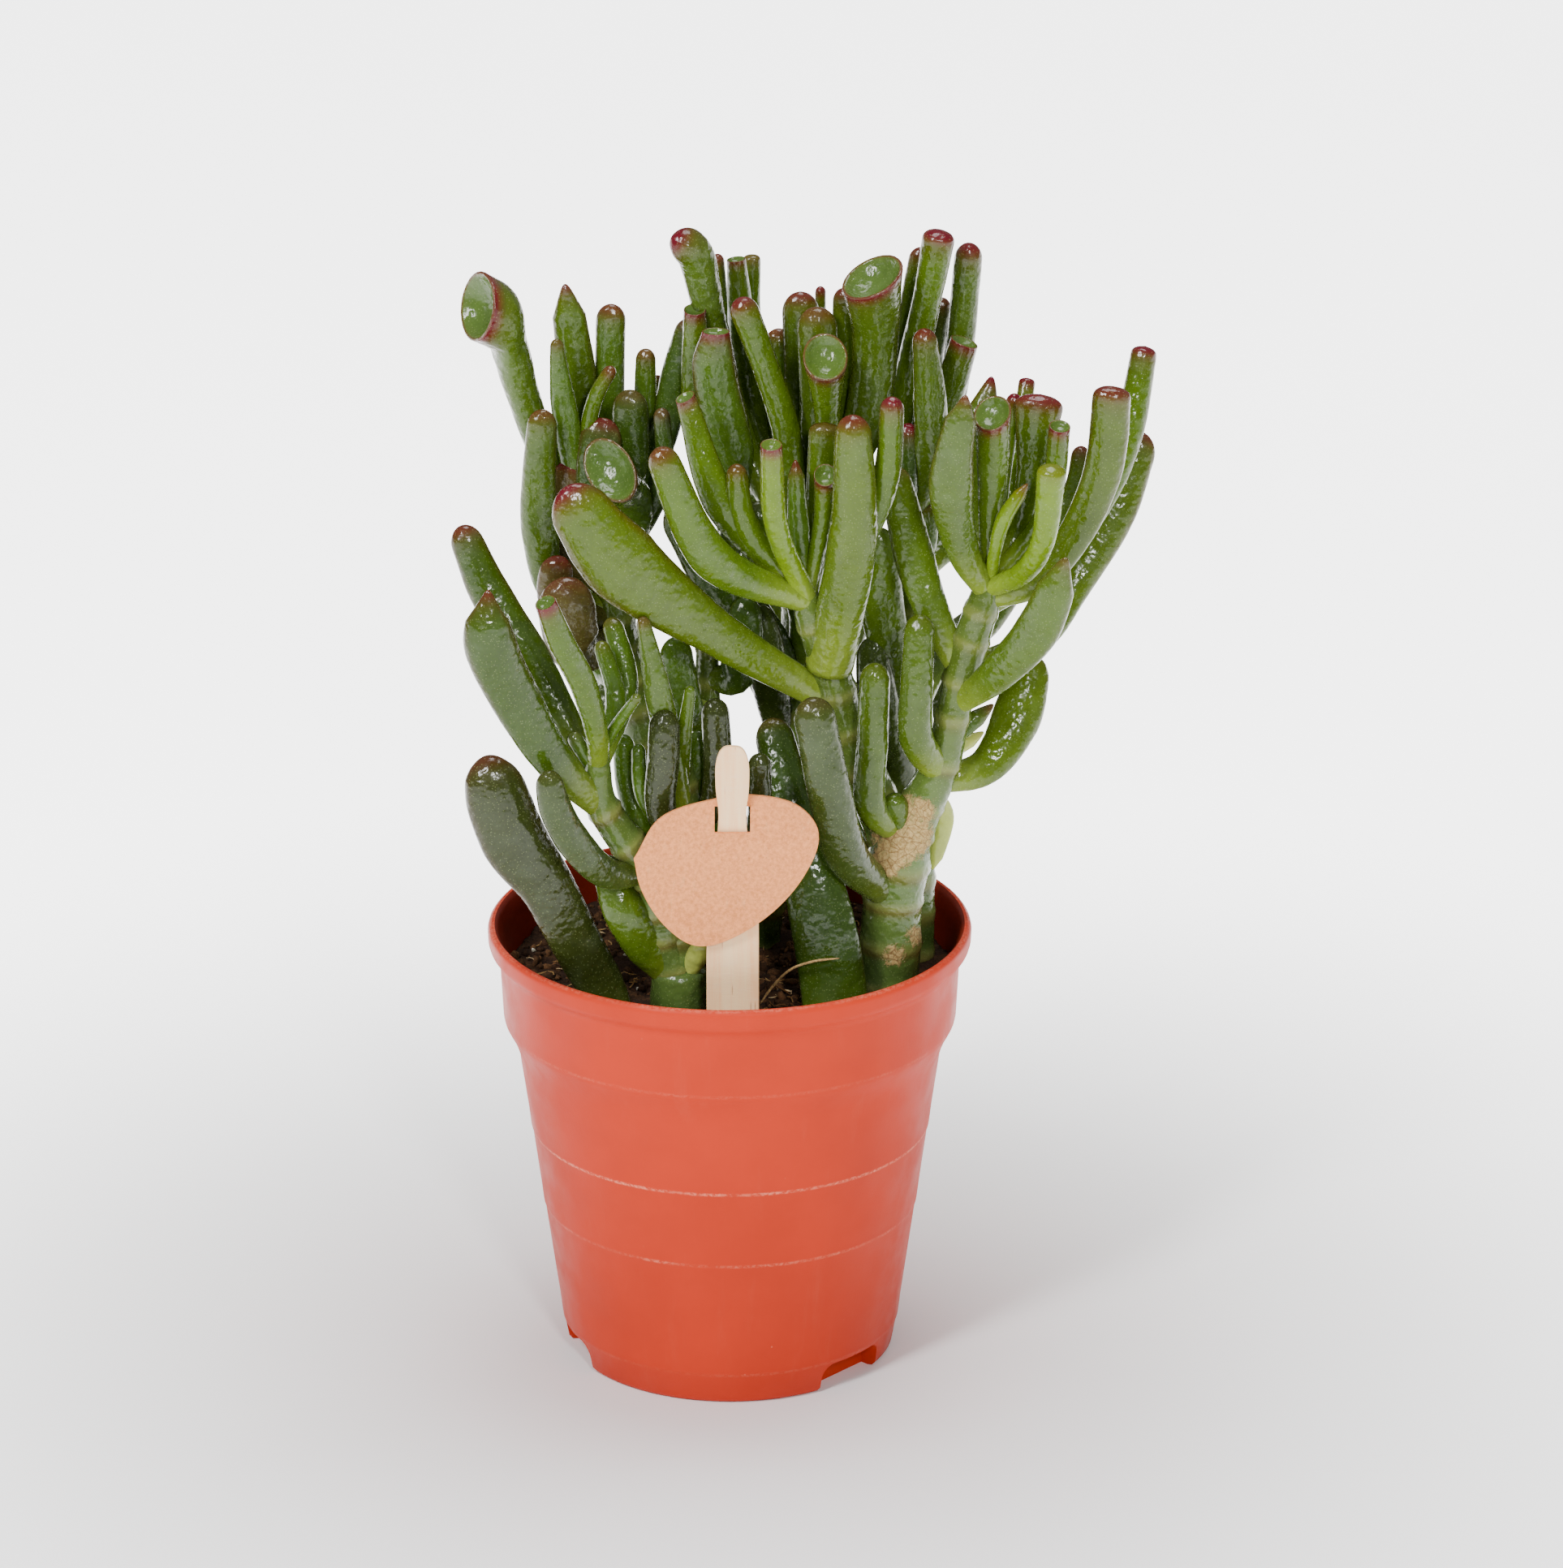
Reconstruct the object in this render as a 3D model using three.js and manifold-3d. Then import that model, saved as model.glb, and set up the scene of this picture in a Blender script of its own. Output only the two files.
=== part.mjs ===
// Potted hobbit jade: a bushy succulent with tubular, cup-tipped leaves, grown from five stems and
// two single rooted leaves, in a filled plastic nursery pot with a card label on a flat wooden stick.
// Millimetres, +Z up, origin at the centre of the pot's underside, the front of the plant faces -Y.

import * as THREE from "three";
import { mergeVertices } from "three/addons/utils/BufferGeometryUtils.js";
import Module from "manifold-3d";

const wasm = await Module();
wasm.setup();

// Driving dimensions of the pot
const RIM_RADIUS = 60;
const POT_HEIGHT = 112.8;
const WALL = 1.1;
const FLOOR = 1.4;
const COLLAR_FOOT = 88.9;
const BASE_RADIUS = 38.5;
const POT_SEGMENTS = 32;
const NOTCH_DEGREES = [-42, 78, 198];
const NOTCH_WIDTH = 20.5;
const NOTCH_HEIGHT = 7.5;
const NOTCH_ARCH = 3.5;
const NOTCH_BACK = 35;
const DRAIN_RADIUS = 3;

// Driving dimensions of the soil and of the play left round everything that stands in it
const SOIL_BELOW_RIM = 13;
const PLAY = 0.45;

// Driving dimensions of the label
const STICK_THICK = 1.4;
const STICK_DEPTH = -41;
const STICK_ACROSS = 1;
const STICK_FOOT = 42;
const SLOT_HEIGHT = 155.5;
const CARD_THICK = 0.9;
const CARD_SLOPE = 1.45;

// The plant is laid out as it is seen from one point in front of and above the pot. A place is
// [across, up, depth]: the first two lie in an upright drawing that faces the eye, with its
// origin at the centre of the rim, and depth is the Y of the point itself.
const SIGHT_PITCH = THREE.MathUtils.degToRad(20.7);
const EYE_ACROSS = 12.85;
const EYE_UP = 33.94;
const EYE_DISTANCE = 2001;
const DRAWN_RIM_RADIUS = 59.63;
const DRAWN_SCALE = RIM_RADIUS / DRAWN_RIM_RADIUS;

const SIGHT_UP = new THREE.Vector3(0, Math.sin(SIGHT_PITCH), Math.cos(SIGHT_PITCH));
const SIGHT_BACK = new THREE.Vector3(0, -Math.cos(SIGHT_PITCH), Math.sin(SIGHT_PITCH));
const SIGHT_RIGHT = new THREE.Vector3(1, 0, 0);
const RIM_CENTRE = new THREE.Vector3(0, 0, POT_HEIGHT);

// Facets of the plant
const STEM_SIDES = 8;
const LEAF_SIDES = 6;
const TURN_SHARE = 0.45;

// Stems: [across, up, depth, radius] from the buried foot to the top
const STEMS_RIGHT = {
  trunk: [
    [39, -38, -12, 6.8], [39, -16.5, -12, 7.5], [39.6, -6, -12, 7.6], [40.4, 7, -12, 7.2],
    [42, 17, -12, 8], [42.5, 24.5, -11.5, 5.8],
  ],
  fork_right: [
    [42.5, 16, -12, 6.2], [47, 28, -12.5, 5.6], [51, 36, -13, 4.8], [53.4, 43, -13.5, 4.4],
    [55, 51, -14, 4.2], [57.5, 62, -14, 4.4], [60.5, 72, -14.5, 4.3], [63.5, 81, -15, 3.8],
    [65, 85, -15, 2.6],
  ],
  fork_left: [
    [41, 17, -11, 5.4], [35, 32, -9, 5.6], [30, 44, -8, 5.4], [26.5, 55, -9, 5.2],
    [24.5, 63, -10, 4.8], [22, 70, -11, 4.4], [19.5, 77, -12, 4], [19, 81, -12, 2.6],
  ],
};

const STEMS_LEFT = {
  trunk: [[-12.4, -40, -27, 6.6], [-12.4, -20, -27, 7.4], [-12.6, -12, -27, 6.6]],
  front: [
    [-12.8, -15, -27, 5.4], [-16.4, -3, -27, 5.2], [-19, 10, -28, 5], [-22.6, 16, -29, 4.6],
    [-28, 23, -30, 4.2], [-32, 30, -31, 3.8], [-32.6, 37, -31, 3.4], [-32.4, 42, -31, 2.6],
  ],
  inner: [
    [-12.4, -12, -27, 5], [-12, 4, -25, 5], [-10.6, 18, -22, 4.6], [-11, 28, -21, 4.2],
    [-12, 36, -20, 3.6], [-12.5, 42, -20, 2.6],
  ],
};

const STEMS_BACK_LEFT = {
  main: [
    [-14, -29, 14, 5.6], [-14, -7, 14, 6], [-16, 15, 14, 5.6], [-20, 40, 14, 5.2],
    [-25, 60, 14, 5], [-28, 75, 14, 4.6], [-30, 88, 14, 4.2], [-30, 93, 14, 2.6],
  ],
};

const STEMS_BACK_CENTRE = {
  main: [
    [6, -28, 20, 6.2], [6, -6, 20, 6.4], [10, 20, 20, 6], [15, 45, 18, 5.6], [17.5, 70, 16, 5],
    [17, 90, 14, 4.4], [17, 96, 14, 2.6],
  ],
  side: [
    [7, 0, 20, 4], [0, 28, 14, 3.6], [-5, 52, 8, 3], [-5.4, 66, 8, 2.9], [-2, 84, 10, 3.4],
    [1, 97, 12, 3.2], [1.6, 101, 12, 2.2],
  ],
};

const STEMS_BACK_RIGHT = {
  main: [
    [45, -26, 7, 4.6], [45.5, -10, 7, 4.8], [46, 10, 9, 4.6], [45.6, 35, 11, 4.4],
    [45.6, 60, 13, 4.2], [44, 80, 16, 4], [43, 92, 18, 3.8], [43, 96, 18, 2.4],
  ],
};

// Leaves: [stem, place along it, points after the base, widths at the base and at each point,
// thickness as a share of the width, tip, and for a cup the way it faces and its two widths].
// A way is [right, up, towards the eye].
const LEAVES_RIGHT = [
  ["fork_left", 4, [[30.4, 95, -22], [30.4, 124.6, -26]], [12, 12, 8.4], 0.75, "round"],
  ["fork_left", 6.4, [[-4, 89, -24], [-17.8, 116.4, -32]], [6, 10.6, 7.4], 0.8, "round"],
  ["fork_left", 6.6, [[-2, 103, -14], [-11, 129, -11]],
    [5, 9, 5.2], 0.8, "cup", [-0.4, 0.7, 0.6], [5, 4]],
  ["fork_left", 6.8, [[4, 97, -15], [1.4, 112.6, -16]], [4.6, 7, 4.8], 0.8, "round"],
  ["fork_left", 6.6, [[11.6, 97, -23], [10.2, 117.2, -29]],
    [5.4, 5.8, 6.4], 0.85, "cup", [0, 0.8, 0.6], [5.2, 5.2]],
  ["fork_left", 6.9, [[17, 97, -11], [16.2, 113.6, -12]], [4, 5.6, 3.6], 0.8, "point"],
  ["fork_left", 6.8, [[22.6, 97, -14], [23.6, 109.8, -18]],
    [3.6, 4.4, 5], 0.85, "cup", [0, 0.2, 1], [5.6, 5.6]],
  ["fork_left", 6.7, [[22.4, 103, -7], [23.6, 122.8, -5]], [5, 7.6, 8], 0.55, "flat"],
  ["fork_left", 5.2, [[38, 107, -20], [40.2, 129, -25]], [5, 6.6, 5.8], 0.85, "round"],
  ["fork_left", 2.8, [[-4, 71.4, -20], [-27, 88.6, -28], [-41, 106.6, -32]],
    [6.5, 11.4, 19.6, 12.4], 0.5, "round"],
  ["trunk", 2.9, [[29, 16, -27], [25, 30, -33], [20, 55, -35]], [7.5, 10.6, 11, 10], 0.7, "round"],
  ["trunk", 4.6, [[35, 28, -19], [35.2, 45, -19.5], [36, 63.6, -18.5]],
    [6.4, 7.8, 7.8, 7.4], 0.8, "round"],
  ["trunk", 4.3, [[40.4, 31, -18]], [7, 6.4], 0.9, "round"],
  ["fork_right", 2.2, [[46, 45, -20], [46, 58, -21], [47, 75.6, -19]], [8, 8.6, 8, 7.4], 0.8, "round"],
  ["fork_right", 4.2, [[66, 61, -25], [76, 72, -32], [83, 89.6, -37]], [5.6, 9, 11, 8], 0.6, "point"],
  ["fork_right", 1.8, [[63, 38, -9], [70.6, 50, -2], [74.6, 66, 5]], [6.4, 9, 12.4, 10], 0.55, "round"],
  ["fork_right", 5, [[75, 69, -6], [84.6, 83.6, 2], [94.6, 101, 8], [101.6, 120.6, 13]],
    [5, 8, 10, 11.4, 9.6], 0.5, "round"],
  ["fork_right", 3.1, [[65, 53.4, -9]], [4, 4.4], 0.6, "point"],
  ["fork_right", 2.6, [[62.6, 46.6, -8]], [3.4, 3.6], 0.7, "point"],
  ["fork_right", 1.5, [[52.8, 26, -10], [50, 12.6, -10]], [4.6, 5, 3], 0.5, "point"],
  ["fork_right", 4.9, [[49.6, 77, -12], [45.4, 90, -9], [40, 112, -6]],
    [6, 8.6, 10, 7.4], 0.65, "round"],
  ["fork_right", 7, [[57.6, 91, -22], [54.6, 108, -30], [58.2, 129.6, -35]],
    [5.6, 8, 11.2, 6], 0.6, "point"],
  ["fork_right", 7.4, [[64, 97, -17], [65, 112, -21], [64.8, 125, -26]],
    [4, 5, 8, 9], 0.85, "cup", [-0.35, 0.4, 0.85], [9.4, 9.4]],
  ["fork_right", 7.6, [[71, 96, -10], [74, 110, -10], [76.6, 129.6, -11]],
    [4.6, 5.4, 6.4, 13], 0.5, "flat"],
  ["fork_right", 7.6, [[78, 101, -17], [81.4, 121.8, -25]],
    [4, 5, 5.8], 0.9, "cup", [0.1, 0.7, 0.7], [5.2, 4.6]],
  ["fork_right", 7.2, [[72.5, 86, -26], [77, 93, -32], [79.5, 112, -38]],
    [4.8, 5.6, 5.8, 7.2], 0.85, "flat"],
  ["fork_right", 7.6, [[65.4, 91, -21], [67.6, 99, -23], [73.4, 107.8, -24]],
    [3.4, 3.2, 4, 2.8], 0.9, "point"],
  ["fork_right", 6.8, [[75, 83, -18], [85, 95, -18], [92, 111, -19], [94.4, 131.6, -21]],
    [5.4, 6.6, 8.4, 9.4, 9.4], 0.6, "flat"],
  ["fork_right", 6.4, [[80, 88, -6], [93, 106, 0], [98.4, 121, 5], [102.4, 141.6, 10]],
    [4, 5.4, 6.4, 7.6, 6.2], 0.9, "flat"],
  ["fork_right", 7.6, [[59.6, 110, -3], [64.6, 134.2, 3]], [4, 7.6, 7.4], 0.6, "point"],
  ["fork_right", 7.8, [[71, 116, 2], [73.4, 133.8, 10]], [3.4, 4.4, 4], 0.7, "flat"],
  ["fork_right", 7.8, [[67.6, 112, -8], [70.4, 130, -6]], [3.4, 4, 4], 0.8, "round"],
  ["fork_right", 7, [[84, 104, 2], [87, 117, 10]], [4, 5.4, 4.6], 0.6, "round"],
];

const LEAVES_LEFT = [
  ["trunk", 1.7, [[-20, -6, -29], [-26, 3, -31], [-31, 16, -27]], [8, 11.6, 11, 7], 0.7, "round"],
  ["trunk", 1.6, [[-5.4, -5, -33.4]], [5, 6], 0.85, "round"],
  ["front", 2.3, [[-30, 11.6, -37], [-38, 19, -42], [-43, 28, -45], [-45, 37, -46]],
    [5.4, 7.6, 8.6, 8, 6], 0.7, "round"],
  ["front", 5.4, [[-40.6, 49, -26], [-50, 66, -21], [-59.4, 81.4, -17], [-66.4, 97.4, -15]],
    [5, 8, 10, 10, 7.2], 0.65, "round"],
  ["front", 4.6, [[-43, 39, -38], [-53.4, 56, -43], [-59.2, 69, -47], [-59.6, 81.6, -48]],
    [6, 9.6, 12.4, 13, 7], 0.6, "point"],
  ["front", 6.4, [[-32.6, 45, -37], [-36, 58, -42], [-41.6, 69, -46], [-45.4, 78.4, -49]],
    [5, 5.6, 6.6, 6.6, 5.6], 0.85, "cup", [-0.3, 0.6, 0.75], [5.2, 4.4]],
  ["front", 6.6, [[-28, 48, -36], [-22.4, 55.6, -42]], [2.6, 3, 2.4], 0.9, "round"],
  ["front", 6.2, [[-28, 54, -25], [-32, 69, -22]], [3.6, 5.2, 3.8], 0.8, "round"],
  ["front", 6, [[-25.6, 58, -20], [-29.4, 74.8, -13]], [4.4, 6, 5], 0.8, "round"],
  ["front", 5.8, [[-39, 46.4, -31]], [3.4, 4], 0.8, "round"],
  ["inner", 2.6, [[-15, 44, -26], [-18, 58, -29], [-21.6, 75, -30]], [5, 6.6, 6.8, 3], 0.8, "round"],
  ["inner", 1.6, [[-17, 28, -31], [-16.4, 40, -32], [-16, 52, -31]], [5.6, 7.6, 8, 7.2], 0.8, "round"],
  ["inner", 3.6, [[-11.4, 44, -26], [-9.6, 58, -27]], [4, 4, 2.6], 0.85, "round"],
  ["inner", 1.8, [[-21.4, 31, -27], [-22.6, 43.6, -25]], [3.6, 4, 3.4], 0.8, "round"],
  ["inner", 2.2, [[-3.8, 30, -24], [-3.6, 54.8, -24]], [5, 7.2, 6.8], 0.8, "round"],
  ["inner", 1.5, [[5, 18, -26], [7.6, 41.2, -28]], [4.4, 6, 5.8], 0.8, "round"],
  ["inner", 1.4, [[-22, 24, -23], [-25, 34, -20], [-26.4, 46, -18]], [4.4, 6, 6.4, 5], 0.8, "round"],
  ["inner", 2.4, [[-7.8, 34, -19], [-7.8, 47, -17]], [4, 5.6, 4.8], 0.8, "round"],
];

const LEAVES_BACK_LEFT = [
  ["main", 6, [[-45, 114, 14], [-51, 130, 12], [-54, 140, 11], [-56.4, 147, 10], [-61.6, 151.4, 8]],
    [4.6, 7.6, 8, 10, 15, 17], 1, "cup", [-0.85, 0.05, 0.52], [17, 17]],
  ["main", 6.6, [[-37, 112, 22], [-37.4, 131, 20], [-40.6, 157, 17]], [4.6, 8.6, 10, 7.4], 0.6, "point"],
  ["main", 6.4, [[-38, 112, 10], [-41, 128, 9], [-42.8, 143.4, 8]], [4.6, 6.8, 6.4, 3], 0.7, "round"],
  ["main", 6.8, [[-29.6, 116, 24], [-29.6, 134, 22], [-29.2, 152, 20]], [4.6, 7, 7.4, 7.2], 0.6, "flat"],
  ["main", 6.6, [[-35, 118, 10], [-33, 129, 9], [-28.8, 136.6, 8]], [3.4, 4, 4, 3.2], 0.9, "round"],
  ["main", 6.8, [[-22, 115, 19], [-20.6, 141, 17]], [4, 6.2, 4.8], 0.8, "round"],
  ["main", 6.6, [[-24.6, 112, 12], [-24.6, 130.8, 10]], [5, 9, 9], 0.7, "round"],
  ["main", 5.6, [[-16.6, 108, 6], [-16.8, 126.4, 5]], [3.4, 5, 4], 0.8, "round"],
  ["main", 6.2, [[-16.6, 119, 16], [-13.4, 134, 19], [-9.6, 148.4, 20]], [4, 7, 7.4, 6], 0.7, "round"],
  ["main", 5.2, [[-42.4, 80, 8], [-46.8, 97, 5], [-46.2, 126, 3]], [5, 7, 9.4, 7], 0.65, "round"],
  ["main", 5.4, [[-42, 94, 10], [-38.8, 113.6, 9]], [5, 8.6, 7.4], 0.5, "round"],
  ["main", 5.8, [[-23, 101, 7], [-29.4, 111, 0]],
    [6, 9, 11.6], 0.8, "cup", [-0.35, 0.15, 0.92], [11.8, 18]],
  ["main", 6.2, [[-33, 108, 8], [-31, 124, 9]], [5, 10, 10.8], 0.4, "round"],
  ["main", 4.6, [[-38, 68, -4], [-41, 84.6, -6]], [6, 13.6, 14.6], 0.5, "round"],
  ["main", 4.9, [[-43, 79, 1], [-42, 90, 0]], [5, 8, 8.6], 0.5, "round"],
  ["main", 5, [[-36, 86, 30], [-43, 104, 38], [-44, 118, 40]], [5, 8, 9, 7], 0.6, "round"],
  ["main", 4, [[-30, 62, 32], [-38, 76, 44], [-41, 92, 48]], [5, 8, 9.6, 8], 0.6, "round"],
  ["main", 3, [[-24, 44, 32], [-30, 56, 44], [-34, 70, 50]], [5, 9, 11, 9], 0.5, "round"],
  ["main", 6, [[-24, 108, 30], [-21, 122, 35], [-17, 133, 38]],
    [4.6, 7, 8, 6.6], 0.7, "cup", [0.2, 0.9, -0.4], [6.6, 5.6]],
  ["main", 6.4, [[-32, 110, 34], [-34, 128, 42]], [4.6, 8, 7], 0.6, "round"],
  ["main", 2.4, [[-20, 36, 30], [-26, 46, 42], [-30, 58, 48]], [5, 8, 9, 7.4], 0.6, "round"],
];

const LEAVES_BACK_CENTRE = [
  ["main", 5.2, [[3, 118, 22], [-3.6, 142, 18], [-6.4, 156, 14], [-9, 165, 11], [-14, 168.8, 9]],
    [5, 7.6, 8.4, 8, 9.4, 8.4], 0.8, "round"],
  ["side", 5.2, [[0, 115, 8], [-4, 138, 5], [-3.4, 145.2, 4]],
    [5, 12, 10.8, 7.4], 0.6, "cup", [0, 0.85, 0.5], [6.8, 4]],
  ["side", 5.4, [[-7.4, 122, 14], [-8.6, 150.6, 12]],
    [4.4, 7.2, 6.6], 0.8, "cup", [0, 0.75, 0.66], [5.4, 4.6]],
  ["main", 5.4, [[5, 130, 27], [3, 146, 25], [1.6, 163, 22]],
    [4.4, 6.4, 7, 5.6], 0.8, "cup", [-0.1, 0.9, 0.4], [4.6, 4]],
  ["main", 5.6, [[-1, 146, 31], [-3.2, 164.4, 31]], [3, 4, 3.4], 0.8, "round"],
  ["main", 5.6, [[6, 146, 31], [5.4, 164.2, 31]], [3, 4, 4.4], 0.8, "flat"],
  ["main", 5.2, [[14, 120, 6], [9, 136, 5], [2.4, 153.6, 4]], [5, 7, 6.6, 7.6], 0.8, "point"],
  ["main", 5.4, [[24, 112, 4], [24, 126, 0], [23.6, 138.8, -5]],
    [4.6, 5.4, 6.4, 10], 0.9, "cup", [0.05, 0.3, 0.95], [10.8, 12.4]],
  ["main", 5.6, [[22, 120, 12], [21.4, 151.2, 8]], [5, 10, 10], 0.7, "round"],
  ["main", 5.6, [[18, 120, 20], [17.4, 155, 16]], [5, 9, 9], 0.65, "round"],
  ["main", 5.6, [[12.4, 126, 24], [12, 146, 24]], [4, 7.4, 7], 0.6, "round"],
  ["main", 5.8, [[22, 135, 24], [22.4, 156.4, 24]], [2.6, 3, 2.6], 0.9, "round"],
  ["main", 5.6, [[27, 126, 15], [28.4, 156, 13]], [4.4, 6.8, 5.6], 0.8, "round"],
  ["main", 5.3, [[33, 122, 10], [36, 146, 7], [35.2, 158.4, 3]],
    [5.6, 10.6, 11.4, 14], 0.85, "cup", [-0.42, 0.68, 0.6], [16, 15.4]],
  ["main", 3.2, [[10, 66, 9], [0, 80, 5], [-14, 103, 3]], [7, 12, 14, 10], 0.5, "round"],
  ["main", 3.4, [[19, 78, 8], [12, 90, 5], [5, 103, 5]], [7, 10, 12, 9], 0.5, "round"],
  ["main", 2.8, [[10, 58, 9], [8.4, 68, 5], [6.6, 78, 4]], [7, 9, 10, 7], 0.6, "round"],
  ["side", 2.2, [[-9, 50, 3], [-12.6, 61, 1], [-13.4, 70, 1]], [5, 8, 9, 7], 0.6, "round"],
  ["side", 2.6, [[1, 60, 3], [3.4, 70, 1], [4, 80, 2]], [5, 9, 10, 7.4], 0.6, "round"],
  ["main", 5, [[4, 104, 32], [-4, 120, 42], [-8, 136, 46]], [5, 8.6, 10, 8], 0.6, "round"],
  ["main", 5, [[14, 106, 36], [13, 124, 46], [11, 138, 50]],
    [5, 8, 9, 7.6], 0.7, "cup", [0, 0.8, -0.6], [8, 7]],
  ["main", 5, [[26, 104, 36], [30, 124, 44], [32, 142, 46]], [5, 9, 10.6, 8], 0.6, "round"],
  ["main", 4, [[24, 84, 34], [30, 98, 50], [32, 112, 58]], [5, 9, 11, 9], 0.55, "round"],
  ["main", 4, [[6, 84, 36], [2, 98, 50], [2, 110, 56]], [5, 9, 11, 9], 0.55, "round"],
  ["main", 3, [[22, 60, 36], [28, 72, 52], [30, 86, 60]], [5, 10, 12, 9], 0.5, "round"],
  ["main", 3, [[8, 62, 34], [4, 74, 50], [6, 86, 58]], [5, 10, 12, 9], 0.5, "round"],
  ["main", 2, [[18, 34, 38], [24, 46, 50], [26, 60, 56]], [5, 9, 11, 9], 0.55, "round"],
  ["main", 1.6, [[2, 14, 38], [-4, 24, 48], [-8, 34, 52]], [5, 9, 10, 8], 0.55, "round"],
];

const LEAVES_BACK_RIGHT = [
  ["main", 6.2, [[41.8, 120, 16], [45, 137, 14], [48.8, 154, 11], [51.8, 170, 8]],
    [4.6, 6.4, 7.4, 7, 8], 0.8, "flat"],
  ["main", 6.6, [[44.4, 146, 21], [47.4, 166, 19]], [4, 6.4, 5.6], 0.6, "round"],
  ["main", 6.4, [[51, 115, 21], [55.6, 134, 20], [59.2, 167, 16]], [4.6, 6.6, 7.2, 6.8], 0.85, "round"],
  ["main", 6.2, [[48.4, 116, 13], [54.2, 131, 12], [57.8, 142.6, 11]],
    [4.6, 7, 8, 8], 0.85, "cup", [0.35, 0.85, 0.35], [7, 7]],
  ["main", 6, [[49.2, 115, 6], [49.4, 128, 3], [47.8, 146, 2]], [4.6, 8, 8.4, 5.6], 0.8, "round"],
  ["main", 6.6, [[50, 138, 26], [52.6, 153.6, 26]], [3.6, 5, 4.6], 0.7, "round"],
  ["main", 5.8, [[43.6, 108, 7], [44, 122.6, 6]], [4.4, 6.2, 5.6], 0.8, "round"],
  ["main", 5.4, [[48, 92, 12], [49, 103.6, 11]], [4, 5.6, 5], 0.7, "round"],
  ["main", 3.2, [[40, 64, 5], [37.4, 80, 3], [36.6, 97, 3]], [6, 10, 11, 8], 0.55, "round"],
  ["main", 2.6, [[40, 44, 5], [36.4, 56, 3], [35, 70, 3]], [6, 9.6, 10, 7.6], 0.6, "round"],
  ["main", 5.4, [[51, 98, 34], [58, 112, 42], [62, 124, 44]], [4.6, 7.4, 8.6, 7], 0.65, "round"],
  ["main", 5.6, [[44, 106, 36], [42, 122, 44], [42, 138, 46]], [4.6, 8, 9.4, 8], 0.6, "round"],
  ["main", 5.2, [[60, 97, 32], [72, 102, 40], [80, 112, 44]], [4.6, 7.4, 9, 7], 0.6, "round"],
  ["main", 3.6, [[52, 66, 30], [62, 74, 42], [70, 84, 48]], [4.6, 8, 10, 8], 0.55, "round"],
  ["main", 2.6, [[48, 44, 30], [52, 56, 42], [56, 68, 48]], [4.6, 7.6, 9, 7], 0.6, "round"],
  ["main", 1.6, [[37, 20, 30], [31, 32, 42], [30, 46, 46]], [4.6, 7.6, 9, 7], 0.6, "round"],
];

// Single leaves that are rooted by themselves: points and widths from the buried foot to the tip
const LEAF_LEFT = {
  points: [
    [-27.4, -38, -24], [-30, -21, -24], [-39, -3, -28], [-45.6, 9.4, -31], [-53, 19.6, -33],
    [-58, 33, -34], [-60, 40.8, -33],
  ],
  widths: [9, 11.6, 12.6, 13.4, 16.6, 15.4, 10],
  flatness: 0.55,
};

const LEAF_CENTRE = {
  points: [[26, -38, -27], [26, -20, -27], [23, -1, -25], [19, 15, -21], [14, 33, -13], [10, 50, -5]],
  widths: [12, 16.6, 16, 14, 11, 9],
  flatness: 0.45,
};

// Colours, roughness and metalness
const FINISHES = {
  pot: { color: 0xd56146, roughness: 0.5, metalness: 0 },
  soil: { color: 0x33241c, roughness: 1, metalness: 0 },
  stick: { color: 0xe8c8a8, roughness: 0.8, metalness: 0 },
  card: { color: 0xcca382, roughness: 0.9, metalness: 0 },
  leaf: { color: 0x6f9440, roughness: 0.4, metalness: 0 },
  darkLeaf: { color: 0x56703f, roughness: 0.45, metalness: 0 },
};

// Solids and meshes

// Points closer than this are one, and shares that differ by less are equal
const MERGE_REACH = 1e-4;
const ROUNDING = 1e-6;

function manifoldOf(geometry) {
  const bare = geometry.clone();
  bare.deleteAttribute("normal");
  bare.deleteAttribute("uv");
  const merged = mergeVertices(bare, MERGE_REACH);
  return new wasm.Manifold(new wasm.Mesh({
    numProp: 3,
    vertProperties: new Float32Array(merged.attributes.position.array),
    triVerts: new Uint32Array(merged.index.array),
  }));
}

function geometryOf(solid) {
  const mesh = solid.getMesh();
  const geometry = new THREE.BufferGeometry();
  geometry.setAttribute("position", new THREE.BufferAttribute(new Float32Array(mesh.vertProperties), 3));
  geometry.setIndex(new THREE.BufferAttribute(new Uint32Array(mesh.triVerts), 1));
  geometry.computeVertexNormals();
  return geometry;
}

function joined(solids) {
  return solids.reduce((sum, solid) => sum.add(solid));
}

function meshOf(name, solid, finish) {
  const mesh = new THREE.Mesh(geometryOf(solid), new THREE.MeshStandardMaterial(finish));
  mesh.name = name;
  return mesh;
}

// Rings of points, all alike in number, skinned into one closed body with a point at each end
function loft(rings, startPoint, endPoint) {
  const sides = rings[0].length;
  const points = [startPoint, ...rings.flat(), endPoint];
  const last = points.length - 1;
  const faces = [];
  for (let side = 0; side < sides; side += 1) {
    const next = (side + 1) % sides;
    faces.push(0, 1 + next, 1 + side);
    for (let ring = 0; ring < rings.length - 1; ring += 1) {
      const low = 1 + ring * sides;
      const high = low + sides;
      faces.push(low + side, low + next, high + next);
      faces.push(low + side, high + next, high + side);
    }
    const top = 1 + (rings.length - 1) * sides;
    faces.push(top + side, top + next, last);
  }
  const geometry = new THREE.BufferGeometry();
  const places = points.flatMap((point) => point.toArray());
  geometry.setAttribute("position", new THREE.Float32BufferAttribute(places, 3));
  geometry.setIndex(faces);
  return manifoldOf(geometry);
}

// The drawing

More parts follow.
